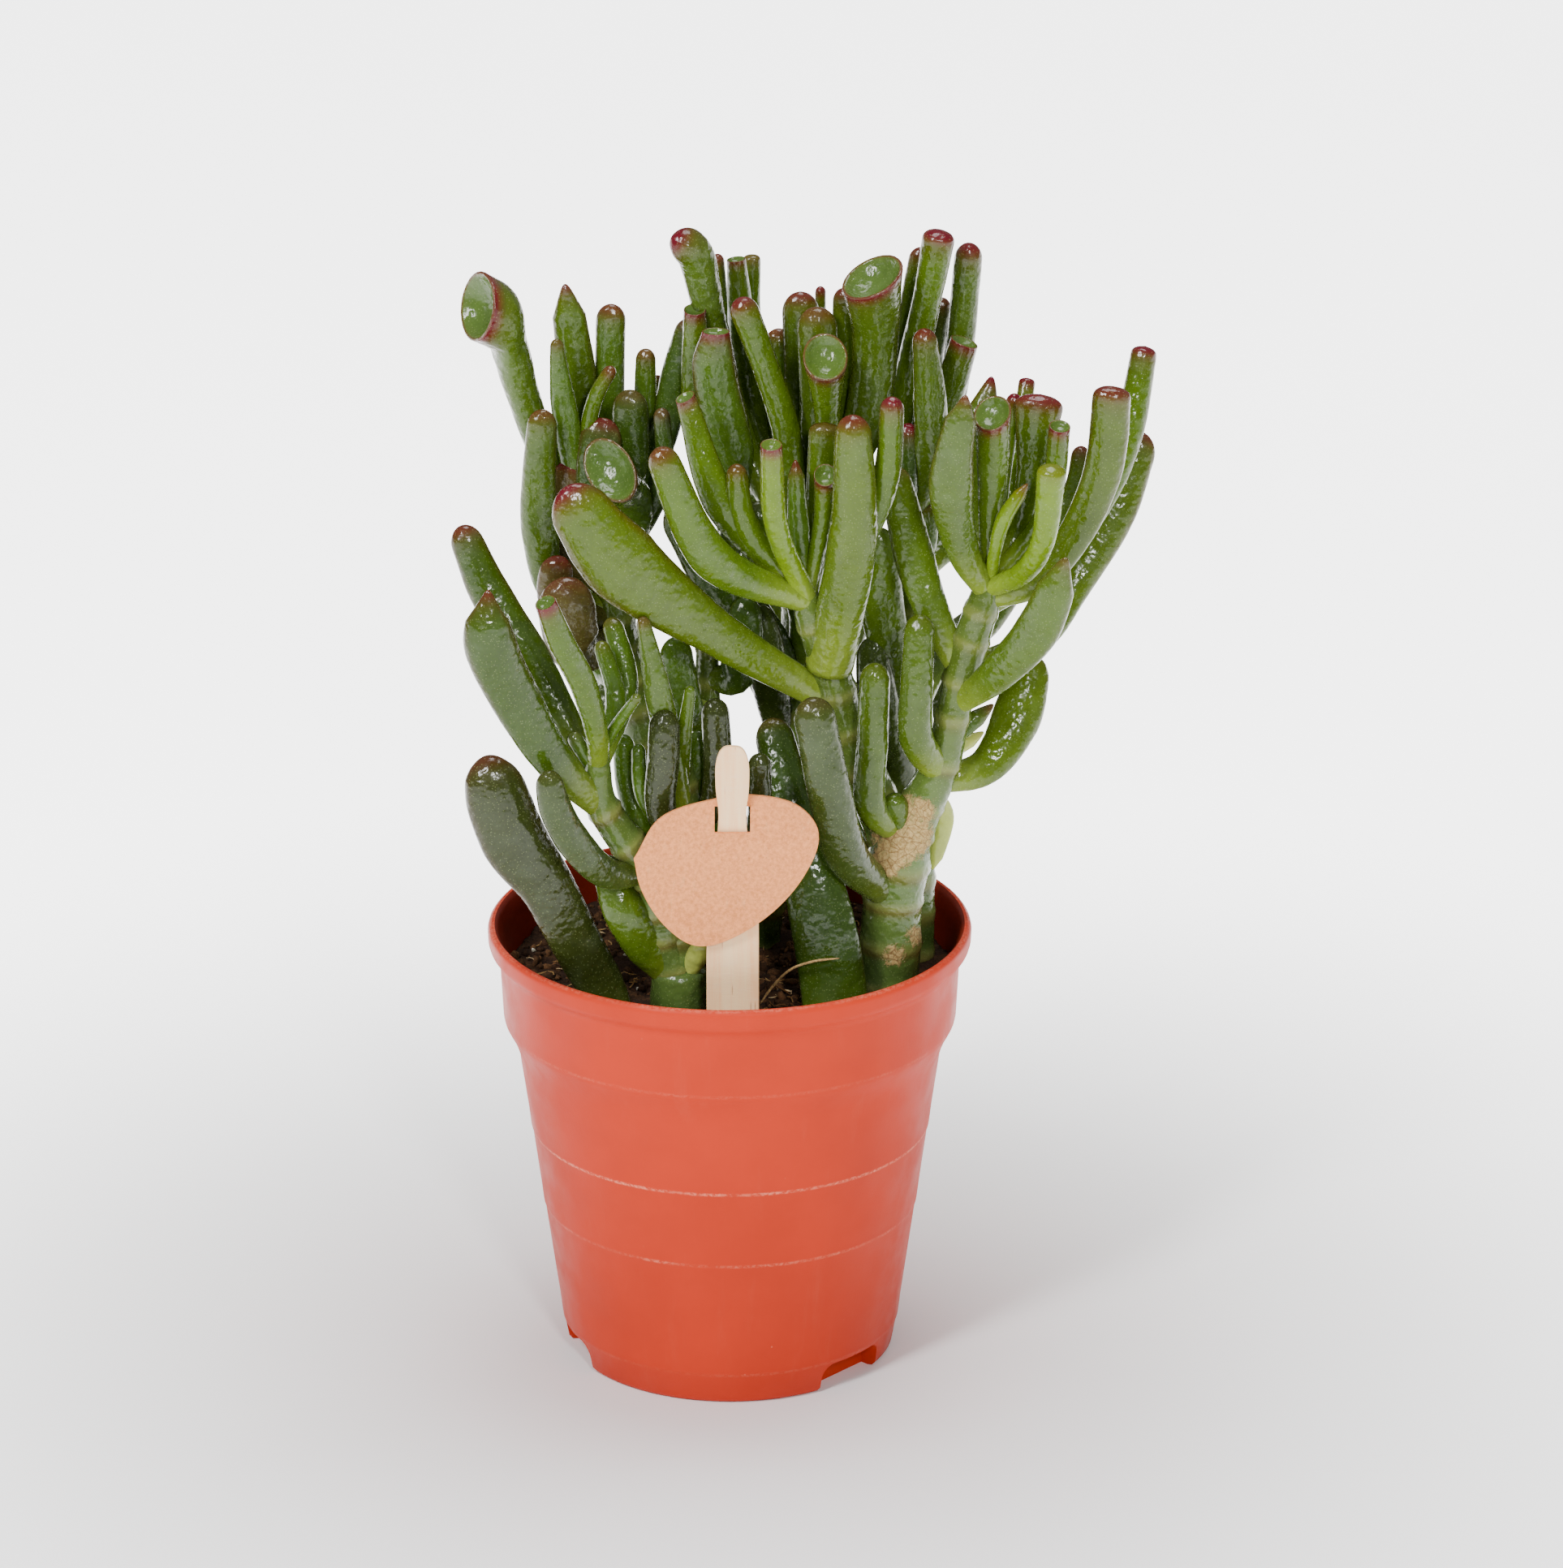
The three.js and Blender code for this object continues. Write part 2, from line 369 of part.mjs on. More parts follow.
const EYE = RIM_CENTRE.clone()
  .addScaledVector(SIGHT_RIGHT, EYE_ACROSS)
  .addScaledVector(SIGHT_UP, EYE_UP)
  .addScaledVector(SIGHT_BACK, EYE_DISTANCE);

function placed([across, up, depth]) {
  const drawn = RIM_CENTRE.clone()
    .addScaledVector(SIGHT_RIGHT, across * DRAWN_SCALE)
    .addScaledVector(SIGHT_UP, up * DRAWN_SCALE);
  const sight = drawn.sub(EYE);
  return EYE.clone().addScaledVector(sight, (depth - EYE.y) / sight.y);
}

function facing([right, up, towards]) {
  return new THREE.Vector3()
    .addScaledVector(SIGHT_RIGHT, right)
    .addScaledVector(SIGHT_UP, up)
    .addScaledVector(SIGHT_BACK, towards)
    .normalize();
}

function curveThrough(points) {
  return new THREE.CatmullRomCurve3(points, false, "centripetal");
}

// Two directions across a curve: one to the side as the eye sees it, one towards the eye. Where
// the curve runs almost straight at the eye, the side is taken over from the ring before.
const LEAST_SIDE = 0.3;

function crossAxes(point, along, before) {
  const toEye = EYE.clone().sub(point).normalize();
  const side = along.clone().cross(toEye);
  if (before && side.length() < LEAST_SIDE) side.copy(before.side);
  side.addScaledVector(along, -side.dot(along)).normalize();
  return { side, front: side.clone().cross(along) };
}

function ringAt(centre, axes, sideRadius, frontRadius, sides) {
  return Array.from({ length: sides }, (_, index) => {
    const angle = (index / sides) * 2 * Math.PI;
    return centre.clone()
      .addScaledVector(axes.side, Math.cos(angle) * sideRadius)
      .addScaledVector(axes.front, -Math.sin(angle) * frontRadius);
  });
}

// Stems

function stemCurve(stem) {
  return curveThrough(stem.map(placed));
}

function stemSolid(stem, grow = 0) {
  const curve = stemCurve(stem);
  const rings = stem.map(([, , , radius], index) => {
    const share = index / (stem.length - 1);
    const centre = curve.getPoint(share);
    const along = curve.getTangent(share);
    if (index === 0) centre.addScaledVector(along, -grow);
    return ringAt(centre, crossAxes(centre, along), radius + grow, radius + grow, STEM_SIDES);
  });
  const foot = curve.getPoint(0).addScaledVector(curve.getTangent(0), -grow);
  const topRadius = stem.at(-1)[3];
  const top = curve.getPoint(1).addScaledVector(curve.getTangent(1), topRadius / 2);
  return loft(rings, foot, top);
}

// Leaves

const LENGTH_SAMPLES = 200;

function widthAt(share, curve, widths) {
  const lengths = curve.getLengths(LENGTH_SAMPLES);
  const knots = widths.map((_, index) => {
    const sample = Math.round((index / (widths.length - 1)) * LENGTH_SAMPLES);
    return lengths[sample] / lengths[LENGTH_SAMPLES];
  });
  const after = Math.max(1, knots.findIndex((knot) => knot >= share - ROUNDING));
  const from = knots[after - 1];
  const mix = THREE.MathUtils.clamp((share - from) / (knots[after] - from), 0, 1);
  return THREE.MathUtils.lerp(widths[after - 1], widths[after], mix);
}

// How far below the end each kind of tip starts to close, as a share of the last width, and the
// rings that close it as [share of the closing stretch, share of the width]
const TIPS = {
  round: { reach: 0.55, rings: [[0.6, 0.76]] },
  point: { reach: 1.1, rings: [[0.5, 0.64]] },
  flat: { reach: 0.3, rings: [[0.85, 0.78]] },
  cup: { reach: 0, rings: [] },
};
const LONGEST_TIP = 0.4;
const CUP_DIP = 0.14;
const FLAT_BULGE = 0.02;

function leafSolid({ curve, widths, flatness, tip, way, cup, grow = 0, rows }) {
  const length = curve.getLength();
  const lastWidth = widths.at(-1);
  const { reach, rings: closing } = TIPS[tip];
  const closeShare = Math.min(LONGEST_TIP, (reach * lastWidth) / length);
  const bodyShare = 1 - closeShare;
  const stations = Array.from({ length: rows }, (_, row) => [(bodyShare * row) / (rows - 1), 1]);
  closing.forEach(([along, size]) => stations.push([bodyShare + along * closeShare, size]));
  const rings = [];
  let axes = null;
  stations.forEach(([share, size], index) => {
    const centre = curve.getPointAt(share);
    let along = curve.getTangentAt(share);
    axes = crossAxes(centre, along, axes);
    if (way) {
      const turn = THREE.MathUtils.smoothstep(share, 1 - TURN_SHARE, 1);
      along = along.clone().lerp(way, turn).normalize();
      axes.side.addScaledVector(along, -axes.side.dot(along)).normalize();
      axes.front = axes.side.clone().cross(along);
    }
    const atRim = cup && index === stations.length - 1;
    const width = widthAt(share, curve, widths) * size;
    const wide = atRim ? cup[0] : width + 2 * grow;
    const deep = atRim ? cup[1] : width * flatness + 2 * grow;
    if (index === 0) centre.addScaledVector(along, -grow);
    rings.push(ringAt(centre, axes, wide / 2, deep / 2, LEAF_SIDES));
  });
  const start = curve.getPointAt(0).addScaledVector(curve.getTangentAt(0), -grow);
  const end = curve.getPointAt(1);
  if (cup) end.addScaledVector(way, -CUP_DIP * Math.min(...cup));
  if (tip === "flat") end.addScaledVector(curve.getTangentAt(1), FLAT_BULGE * lastWidth);
  return loft(rings, start, end);
}

function leafOnStem(stems, [stem, place, points, widths, flatness, tip, way, cup]) {
  const parent = stems[stem];
  const base = stemCurve(parent).getPoint(place / (parent.length - 1));
  const curve = curveThrough([base, ...points.map(placed)]);
  const rows = Math.max(4, points.length + 1);
  return leafSolid({ curve, widths, flatness, tip, way: way && facing(way), cup, rows });
}

function leafyStem(stems, leaves) {
  const stemSolids = Object.values(stems).map((stem) => stemSolid(stem));
  const leafSolids = leaves.map((leaf) => leafOnStem(stems, leaf));
  return joined([...stemSolids, ...leafSolids]);
}

function rootedLeaf({ points, widths, flatness }, grow = 0) {
  const curve = curveThrough(points.map(placed));
  return leafSolid({ curve, widths, flatness, tip: "round", grow, rows: points.length + 1 });
}

// Pot and soil

function lathe(profile) {
  const points = profile.map(([radius, height]) => new THREE.Vector2(radius, height));
  const geometry = new THREE.LatheGeometry(points, POT_SEGMENTS);
  geometry.rotateX(Math.PI / 2);
  return manifoldOf(geometry);
}

// Body radius at a height: the pot widens evenly from its foot to its collar
function bodyRadius(height) {
  return 52.2 + 0.144 * (height - 77.8);
}

function potOutside() {
  return lathe([
    [0, 0], [BASE_RADIUS, 0], [BASE_RADIUS + 2.2, 1.2], [bodyRadius(4), 4], [bodyRadius(8.3), 8.3],
    [bodyRadius(39.8), 39.8], [bodyRadius(78), 78], [53.6, 83], [55.4, 87], [56.2, COLLAR_FOOT],
    [57.2, 106.4], [59.4, 106.8], [RIM_RADIUS, 108], [RIM_RADIUS, 111.4],
    [RIM_RADIUS - 0.8, POT_HEIGHT], [0, POT_HEIGHT],
  ]);
}

// The space inside the wall, or the same space drawn in by a gap on every side
function potInside(gap = 0) {
  const top = POT_HEIGHT + 1;
  return lathe([
    [0, FLOOR + gap], [BASE_RADIUS - 1 - gap, FLOOR + gap], [bodyRadius(8.3) - WALL - gap, 8.3],
    [bodyRadius(78) - WALL - gap, 78], [53.6 - WALL - gap, 83.6], [55.1 - gap, 90],
    [56.3 - gap, 108], [57.6 - gap, top], [0, top],
  ]);
}

// A drainage notch: an arch cut into the bottom edge, wider and deeper by margin
function notch(degrees, margin) {
  const half = NOTCH_WIDTH / 2 + margin;
  const height = NOTCH_HEIGHT + margin;
  const arch = NOTCH_ARCH + margin;
  const outline = new THREE.Shape();
  outline.moveTo(-half, -5);
  outline.lineTo(half, -5);
  outline.lineTo(half, height - arch);
  outline.absarc(half - arch, height - arch, arch, 0, Math.PI / 2);
  outline.absarc(arch - half, height - arch, arch, Math.PI / 2, Math.PI);
  const depth = RIM_RADIUS - NOTCH_BACK + margin;
  const geometry = new THREE.ExtrudeGeometry(outline, { depth, bevelEnabled: false, curveSegments: 3 });
  geometry.rotateX(Math.PI / 2);
  geometry.translate(0, RIM_RADIUS, 0);
  geometry.rotateZ(THREE.MathUtils.degToRad(degrees - 90));
  return manifoldOf(geometry);
}

function drain(degrees) {
  const geometry = new THREE.CylinderGeometry(DRAIN_RADIUS, DRAIN_RADIUS, 2 * NOTCH_HEIGHT, 10);
  geometry.rotateX(Math.PI / 2);
  geometry.translate(NOTCH_BACK + DRAIN_RADIUS + 1, 0, NOTCH_HEIGHT);
  geometry.rotateZ(THREE.MathUtils.degToRad(degrees));
  return manifoldOf(geometry);
}

function potSolid() {
  let outside = potOutside();
  let inside = potInside();
  for (const degrees of NOTCH_DEGREES) {
    outside = outside.subtract(notch(degrees, 0));
    inside = inside.subtract(notch(degrees, WALL));
  }
  const drains = joined(NOTCH_DEGREES.map(drain));
  return outside.subtract(inside).subtract(drains);
}

function soilSolid() {
  const surface = POT_HEIGHT - SOIL_BELOW_RIM;
  const fill = lathe([
    [0, 0], [RIM_RADIUS, 0], [RIM_RADIUS, surface - 0.4], [50, surface + 0.6], [38, surface - 0.5],
    [22, surface + 0.5], [10, surface - 0.2], [0, surface + 0.3],
  ]);
  let soil = fill.intersect(potInside(PLAY));
  for (const degrees of NOTCH_DEGREES) soil = soil.subtract(notch(degrees, WALL + PLAY));
  const rooted = [
    STEMS_RIGHT.trunk, STEMS_LEFT.trunk, STEMS_BACK_LEFT.main, STEMS_BACK_CENTRE.main,
    STEMS_BACK_RIGHT.main,
  ];
  for (const stem of rooted) soil = soil.subtract(stemSolid(stem, PLAY));
  for (const leaf of [LEAF_LEFT, LEAF_CENTRE]) soil = soil.subtract(rootedLeaf(leaf, PLAY));
  return soil.subtract(stickSolid(PLAY));
}

// Label

// Half of the stick's outline: [half width, height above its foot]
const STICK_HALF = [
  [2.4, 0], [6.4, 6], [6.4, 100], [5.6, 105], [3.6, 109], [3.3, 116], [4, 120.4], [4.2, 127],
  [3.4, 130.6], [1.9, 132.4],
];

function stickSolid(grow = 0) {
  const right = STICK_HALF.map(([half, height]) => new THREE.Vector2(half + grow, height));
  right[0].y -= grow;
  right.at(-1).y += grow;
  const left = right.map(({ x, y }) => new THREE.Vector2(-x, y)).reverse();
  const thick = STICK_THICK + 2 * grow;
  const geometry = new THREE.ExtrudeGeometry(new THREE.Shape([...right, ...left]), {
    depth: thick, bevelEnabled: false,
  });
  geometry.rotateX(Math.PI / 2);
  geometry.translate(STICK_ACROSS, STICK_DEPTH + thick / 2, STICK_FOOT);
  return manifoldOf(geometry);
}

// The card's outline, across from its own middle and up from the slot
const CARD_OUTLINE = [
  [-24.6, -9], [-18.6, 0], [-5, 4.4], [5, 5.2], [15.6, 2.6], [20, -3], [16.4, -13.6], [7, -24.6],
  [-5, -31.4], [-11, -31.4], [-18, -25.6], [-23, -16.6],
];
const CARD_ACROSS = 0.8;
const SLOT_HALF_WIDTH = 4.3;
const SLOT_HALF_HEIGHT = 2.9;

// How far the card's middle lies in front of the stick's middle at a height above the slot: it
// passes behind the stick above the slot and in front of it below
function cardStandOff(up) {
  const reach = SLOT_HALF_HEIGHT + 1.4;
  if (up > -reach) return -CARD_SLOPE * (up / SLOT_HALF_HEIGHT);
  const below = -up - reach;
  return CARD_SLOPE * (reach / SLOT_HALF_HEIGHT) + 1.3 * (1 - Math.exp(-below / 3)) - 0.035 * below;
}

function cardSolid() {
  const heights = [8, 3, -3, -5.5, -8, -12, -20, -36];
  const front = heights.map((up) => new THREE.Vector2(-cardStandOff(up) - CARD_THICK / 2, up));
  const back = heights.map((up) => new THREE.Vector2(-cardStandOff(up) + CARD_THICK / 2, up)).reverse();
  const sheet = new THREE.ExtrudeGeometry(new THREE.Shape([...front, ...back]), {
    depth: RIM_RADIUS, bevelEnabled: false,
  });
  sheet.translate(0, 0, -RIM_RADIUS / 2);
  sheet.applyMatrix4(new THREE.Matrix4().makeBasis(
    new THREE.Vector3(0, 1, 0), new THREE.Vector3(0, 0, 1), new THREE.Vector3(1, 0, 0),
  ));
  const outline = new THREE.Shape(
    curveThrough([...CARD_OUTLINE, CARD_OUTLINE[0]].map(([x, y]) => new THREE.Vector3(x, y, 0)))
      .getSpacedPoints(30).slice(0, -1).map(({ x, y }) => new THREE.Vector2(x, y)),
  );
  const slotLeft = -CARD_ACROSS - SLOT_HALF_WIDTH;
  const slotRight = -CARD_ACROSS + SLOT_HALF_WIDTH;
  const slot = new THREE.Path();
  slot.moveTo(slotLeft, -SLOT_HALF_HEIGHT);
  slot.lineTo(slotRight, -SLOT_HALF_HEIGHT);
  slot.lineTo(slotRight, SLOT_HALF_HEIGHT);
  slot.lineTo(slotLeft, SLOT_HALF_HEIGHT);
  outline.holes.push(slot);
  const prism = new THREE.ExtrudeGeometry(outline, { depth: 30, bevelEnabled: false });
  prism.rotateX(Math.PI / 2);
  prism.translate(0, 15, 0);
  return manifoldOf(sheet).intersect(manifoldOf(prism))
    .translate(STICK_ACROSS + CARD_ACROSS, STICK_DEPTH, SLOT_HEIGHT);
}

// The object

const plant = new THREE.Group();
plant.add(
  meshOf("stem_right", leafyStem(STEMS_RIGHT, LEAVES_RIGHT), FINISHES.leaf),
  meshOf("stem_left", leafyStem(STEMS_LEFT, LEAVES_LEFT), FINISHES.leaf),
  meshOf("stem_back_left", leafyStem(STEMS_BACK_LEFT, LEAVES_BACK_LEFT), FINISHES.leaf),
  meshOf("stem_back_centre", leafyStem(STEMS_BACK_CENTRE, LEAVES_BACK_CENTRE), FINISHES.leaf),
  meshOf("stem_back_right", leafyStem(STEMS_BACK_RIGHT, LEAVES_BACK_RIGHT), FINISHES.leaf),
  meshOf("leaf_left", rootedLeaf(LEAF_LEFT), FINISHES.darkLeaf),
  meshOf("leaf_centre", rootedLeaf(LEAF_CENTRE), FINISHES.darkLeaf),
);

const label = new THREE.Group();
label.add(
  meshOf("label_stick", stickSolid(), FINISHES.stick),
  meshOf("label_card", cardSolid(), FINISHES.card),
);

const pottedJade = new THREE.Group();
pottedJade.add(
  meshOf("pot", potSolid(), FINISHES.pot),
  meshOf("soil", soilSolid(), FINISHES.soil),
  plant,
  label,
);

export default pottedJade;
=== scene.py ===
# Potted hobbit jade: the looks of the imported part, and the studio it stands in.
# Lengths are in millimetres until a mesh is made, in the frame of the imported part.

import math
import random

import bmesh
import bpy
import numpy as np
from mathutils import Matrix, Vector, noise


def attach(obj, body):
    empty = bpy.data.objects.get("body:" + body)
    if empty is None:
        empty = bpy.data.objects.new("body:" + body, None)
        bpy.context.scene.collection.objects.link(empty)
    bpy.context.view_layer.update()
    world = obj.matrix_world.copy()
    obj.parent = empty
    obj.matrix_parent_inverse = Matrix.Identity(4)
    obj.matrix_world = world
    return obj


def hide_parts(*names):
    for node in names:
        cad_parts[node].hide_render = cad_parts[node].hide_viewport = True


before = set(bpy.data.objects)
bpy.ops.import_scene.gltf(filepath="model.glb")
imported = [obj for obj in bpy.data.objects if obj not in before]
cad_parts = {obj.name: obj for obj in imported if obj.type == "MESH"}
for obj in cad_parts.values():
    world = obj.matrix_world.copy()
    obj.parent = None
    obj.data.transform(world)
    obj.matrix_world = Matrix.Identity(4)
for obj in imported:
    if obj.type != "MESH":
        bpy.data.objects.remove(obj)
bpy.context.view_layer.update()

MM = 0.001

# Sizes of the pot, the soil and the label, as in the part
RIM_RADIUS = 60
POT_HEIGHT = 112.8
WALL = 1.1
FLOOR = 1.4
COLLAR_FOOT = 88.9
BASE_RADIUS = 38.5
NOTCH_DEGREES = (-42, 78, 198)
NOTCH_WIDTH = 20.5
NOTCH_HEIGHT = 7.5
NOTCH_ARCH = 3.5
NOTCH_BACK = 35
DRAIN_RADIUS = 3
RING_HEIGHTS = (8.3, 39.8, 60.3)
SOIL_BELOW_RIM = 13
SOIL_LEVEL = POT_HEIGHT - SOIL_BELOW_RIM
SOIL_RADIUS = 55.5

# Heights of the pale rings on the pot, and how pale each is: scuff marks where stacked pots rub, and at
# the top of the rim (POT_HEIGHT) a painted highlight as well
SCUFF_AND_SHEEN_RINGS = (
    (60.3, 0.75), (39.8, 0.4), (8.3, 0.1), (COLLAR_FOOT, 0.12), (POT_HEIGHT, 0.3),
)

# Fineness of the meshes
LEAF_SIDES = 28
LEAF_STEP = 1.5
STEM_SIDES = 26
STEM_STEP = 1.4
POT_SIDES = 192

# The plant is laid out as the eye of the camera sees it. A place is (across, up, depth): the
# first two lie in an upright drawing with its origin at the centre of the rim, and depth is Y.
SIGHT_PITCH = math.radians(20.7)
DRAWN_SCALE = RIM_RADIUS / 59.63
SIGHT_RIGHT = np.array((1.0, 0.0, 0.0))
SIGHT_UP = np.array((0.0, math.sin(SIGHT_PITCH), math.cos(SIGHT_PITCH)))
SIGHT_BACK = np.array((0.0, -math.cos(SIGHT_PITCH), math.sin(SIGHT_PITCH)))
RIM_CENTRE = np.array((0.0, 0.0, POT_HEIGHT))
EYE = RIM_CENTRE + 12.85 * SIGHT_RIGHT + 33.94 * SIGHT_UP + 2001 * SIGHT_BACK

# Stems: (across, up, depth, radius) from the buried foot to the top
STEMS_RIGHT = {
    "trunk": [
        (39, -38, -12, 6.8), (39, -16.5, -12, 7.5), (39.6, -6, -12, 7.6), (40.4, 7, -12, 7.2),
        (42, 17, -12, 8), (42.5, 24.5, -11.5, 5.8),
    ],
    "fork_right": [
        (42.5, 16, -12, 6.2), (47, 28, -12.5, 5.6), (51, 36, -13, 4.8), (53.4, 43, -13.5, 4.4),
        (55, 51, -14, 4.2), (57.5, 62, -14, 4.4), (60.5, 72, -14.5, 4.3), (63.5, 81, -15, 3.8),
        (65, 85, -15, 2.6),
    ],
    "fork_left": [
        (41, 17, -11, 5.4), (35, 32, -9, 5.6), (30, 44, -8, 5.4), (26.5, 55, -9, 5.2),
        (24.5, 63, -10, 4.8), (22, 70, -11, 4.4), (19.5, 77, -12, 4), (19, 81, -12, 2.6),
    ],
}
STEMS_LEFT = {
    "trunk": [(-12.4, -40, -27, 6.6), (-12.4, -20, -27, 7.4), (-12.6, -12, -27, 6.6)],
    "front": [
        (-12.8, -15, -27, 5.4), (-16.4, -3, -27, 5.2), (-19, 10, -28, 5), (-22.6, 16, -29, 4.6),
        (-28, 23, -30, 4.2), (-32, 30, -31, 3.8), (-32.6, 37, -31, 3.4), (-32.4, 42, -31, 2.6),
    ],
    "inner": [
        (-12.4, -12, -27, 5), (-12, 4, -25, 5), (-10.6, 18, -22, 4.6), (-11, 28, -21, 4.2),
        (-12, 36, -20, 3.6), (-12.5, 42, -20, 2.6),
    ],
}
STEMS_BACK_LEFT = {
    "main": [
        (-14, -29, 14, 5.6), (-14, -7, 14, 6), (-16, 15, 14, 5.6), (-20, 40, 14, 5.2),
        (-25, 60, 14, 5), (-28, 75, 14, 4.6), (-30, 88, 14, 4.2), (-30, 93, 14, 2.6),
    ],
}
STEMS_BACK_CENTRE = {
    "main": [
        (6, -28, 20, 6.2), (6, -6, 20, 6.4), (10, 20, 20, 6), (15, 45, 18, 5.6),
        (17.5, 70, 16, 5), (17, 90, 14, 4.4), (17, 96, 14, 2.6),
    ],
    "side": [
        (7, 0, 20, 4), (0, 28, 14, 3.6), (-5, 52, 8, 3), (-5.4, 66, 8, 2.9), (-2, 84, 10, 3.4),
        (1, 97, 12, 3.2), (1.6, 101, 12, 2.2),
    ],
}
STEMS_BACK_RIGHT = {
    "main": [
        (45, -26, 7, 4.6), (45.5, -10, 7, 4.8), (46, 10, 9, 4.6), (45.6, 35, 11, 4.4),
        (45.6, 60, 13, 4.2), (44, 80, 16, 4), (43, 92, 18, 3.8), (43, 96, 18, 2.4),
    ],
}

# Leaves by stem: (place along it, points after the base, widths at the base and at each point,
# thickness as a share of the width, tone, how red the tip is, the tip where it isn't round, and
# for a cup the way it faces and its two widths). A way is (right, up, towards the eye).
LEAVES_RIGHT = [
    ("fork_left", [
        (4, [(30.4, 95, -22), (30.4, 124.6, -26)], [12, 12, 8.4], 0.75, "olive", 0.6),
        (6.4, [(-4, 89, -24), (-17.8, 116.4, -32)], [6, 10.6, 7.4], 0.8, "fresh", 0.5),
        (6.6, [(-2, 103, -14), (-11, 129, -11)],
         [5, 9, 5.2], 0.8, "fresh", 0.5, "cup", (-0.4, 0.7, 0.6), (5, 4)),
        (6.8, [(4, 97, -15), (1.4, 112.6, -16)], [4.6, 7, 4.8], 0.8, "leafy", 0.4),
        (6.6, [(11.6, 97, -23), (10.2, 117.2, -29)],
         [5.4, 5.8, 6.4], 0.85, "bright", 0.8, "cup", (0, 0.8, 0.6), (5.2, 5.2)),
        (6.9, [(17, 97, -11), (16.2, 113.6, -12)], [4, 5.6, 3.6], 0.8, "deep", 0.6, "point"),
        (6.8, [(22.6, 97, -14), (23.6, 109.8, -18)],
         [3.6, 4.4, 5], 0.85, "leafy", 0.5, "cup", (0, 0.2, 1), (5.6, 5.6)),
        (6.7, [(22.4, 103, -7), (23.6, 122.8, -5)], [5, 7.6, 8], 0.55, "leafy", 0.3, "flat"),
        (5.2, [(38, 107, -20), (40.2, 129, -25)], [5, 6.6, 5.8], 0.85, "fresh", 0.9),
        (2.8, [(-4, 71.4, -20), (-27, 88.6, -28), (-41, 106.6, -32)],
         [6.5, 11.4, 19.6, 12.4], 0.5, "olive", 0.8),
    ]),
    ("trunk", [
        (2.9, [(29, 16, -27), (25, 30, -33), (20, 55, -35)], [7.5, 10.6, 11, 10], 0.7, "dull", 0.12),
        (4.6, [(35, 28, -19), (35.2, 45, -19.5), (36, 63.6, -18.5)],
         [6.4, 7.8, 7.8, 7.4], 0.8, "mid", 0.05),
        (4.3, [(40.4, 31, -18)], [7, 6.4], 0.9, "mid", 0),
    ]),
    ("fork_right", [
        (2.2, [(46, 45, -20), (46, 58, -21), (47, 75.6, -19)], [8, 8.6, 8, 7.4], 0.8, "mid", 0.05),
        (4.2, [(66, 61, -25), (76, 72, -32), (83, 89.6, -37)],
         [5.6, 9, 11, 8], 0.6, "mid", 0.3, "point"),
        (1.8, [(63, 38, -9), (70.6, 50, -2), (74.6, 66, 5)], [6.4, 9, 12.4, 10], 0.55, "olive", 0.1),
        (5, [(75, 69, -6), (84.6, 83.6, 2), (94.6, 101, 8), (101.6, 120.6, 13)],
         [5, 8, 10, 11.4, 9.6], 0.5, "olive", 0.6),
        (3.1, [(65, 53.4, -9)], [4, 4.4], 0.6, "deep", 0.4, "point"),
        (2.6, [(62.6, 46.6, -8)], [3.4, 3.6], 0.7, "pale", 0.2, "point"),
        (1.5, [(52.8, 26, -10), (50, 12.6, -10)], [4.6, 5, 3], 0.5, "pale", 0, "point"),
        (4.9, [(49.6, 77, -12), (45.4, 90, -9), (40, 112, -6)], [6, 8.6, 10, 7.4], 0.65, "mid", 0.2),
        (7, [(57.6, 91, -22), (54.6, 108, -30), (58.2, 129.6, -35)],
         [5.6, 8, 11.2, 6], 0.6, "mid", 0.5, "point"),
        (7.4, [(64, 97, -17), (65, 112, -21), (64.8, 125, -26)],
         [4, 5, 8, 9], 0.85, "leafy", 0.6, "cup", (-0.35, 0.4, 0.85), (9.4, 9.4)),
        (7.6, [(71, 96, -10), (74, 110, -10), (76.6, 129.6, -11)],
         [4.6, 5.4, 6.4, 13], 0.5, "fresh", 0.7, "flat"),
        (7.6, [(78, 101, -17), (81.4, 121.8, -25)],
         [4, 5, 5.8], 0.9, "fresh", 0.7, "cup", (0.1, 0.7, 0.7), (5.2, 4.6)),
        (7.2, [(72.5, 86, -26), (77, 93, -32), (79.5, 112, -38)],
         [4.8, 5.6, 5.8, 7.2], 0.85, "bright", 0.15, "flat"),
        (7.6, [(65.4, 91, -21), (67.6, 99, -23), (73.4, 107.8, -24)],
         [3.4, 3.2, 4, 2.8], 0.9, "bright", 0.5, "point"),
        (6.8, [(75, 83, -18), (85, 95, -18), (92, 111, -19), (94.4, 131.6, -21)],
         [5.4, 6.6, 8.4, 9.4, 9.4], 0.6, "olive", 0.6, "flat"),
        (6.4, [(80, 88, -6), (93, 106, 0), (98.4, 121, 5), (102.4, 141.6, 10)],
         [4, 5.4, 6.4, 7.6, 6.2], 0.9, "fresh", 0.8, "flat"),
        (7.6, [(59.6, 110, -3), (64.6, 134.2, 3)], [4, 7.6, 7.4], 0.6, "mid", 0.8, "point"),
        (7.8, [(71, 116, 2), (73.4, 133.8, 10)], [3.4, 4.4, 4], 0.7, "fresh", 0.8, "flat"),
        (7.8, [(67.6, 112, -8), (70.4, 130, -6)], [3.4, 4, 4], 0.8, "fresh", 0.8),
        (7, [(84, 104, 2), (87, 117, 10)], [4, 5.4, 4.6], 0.6, "mid", 0.6),
    ]),
]

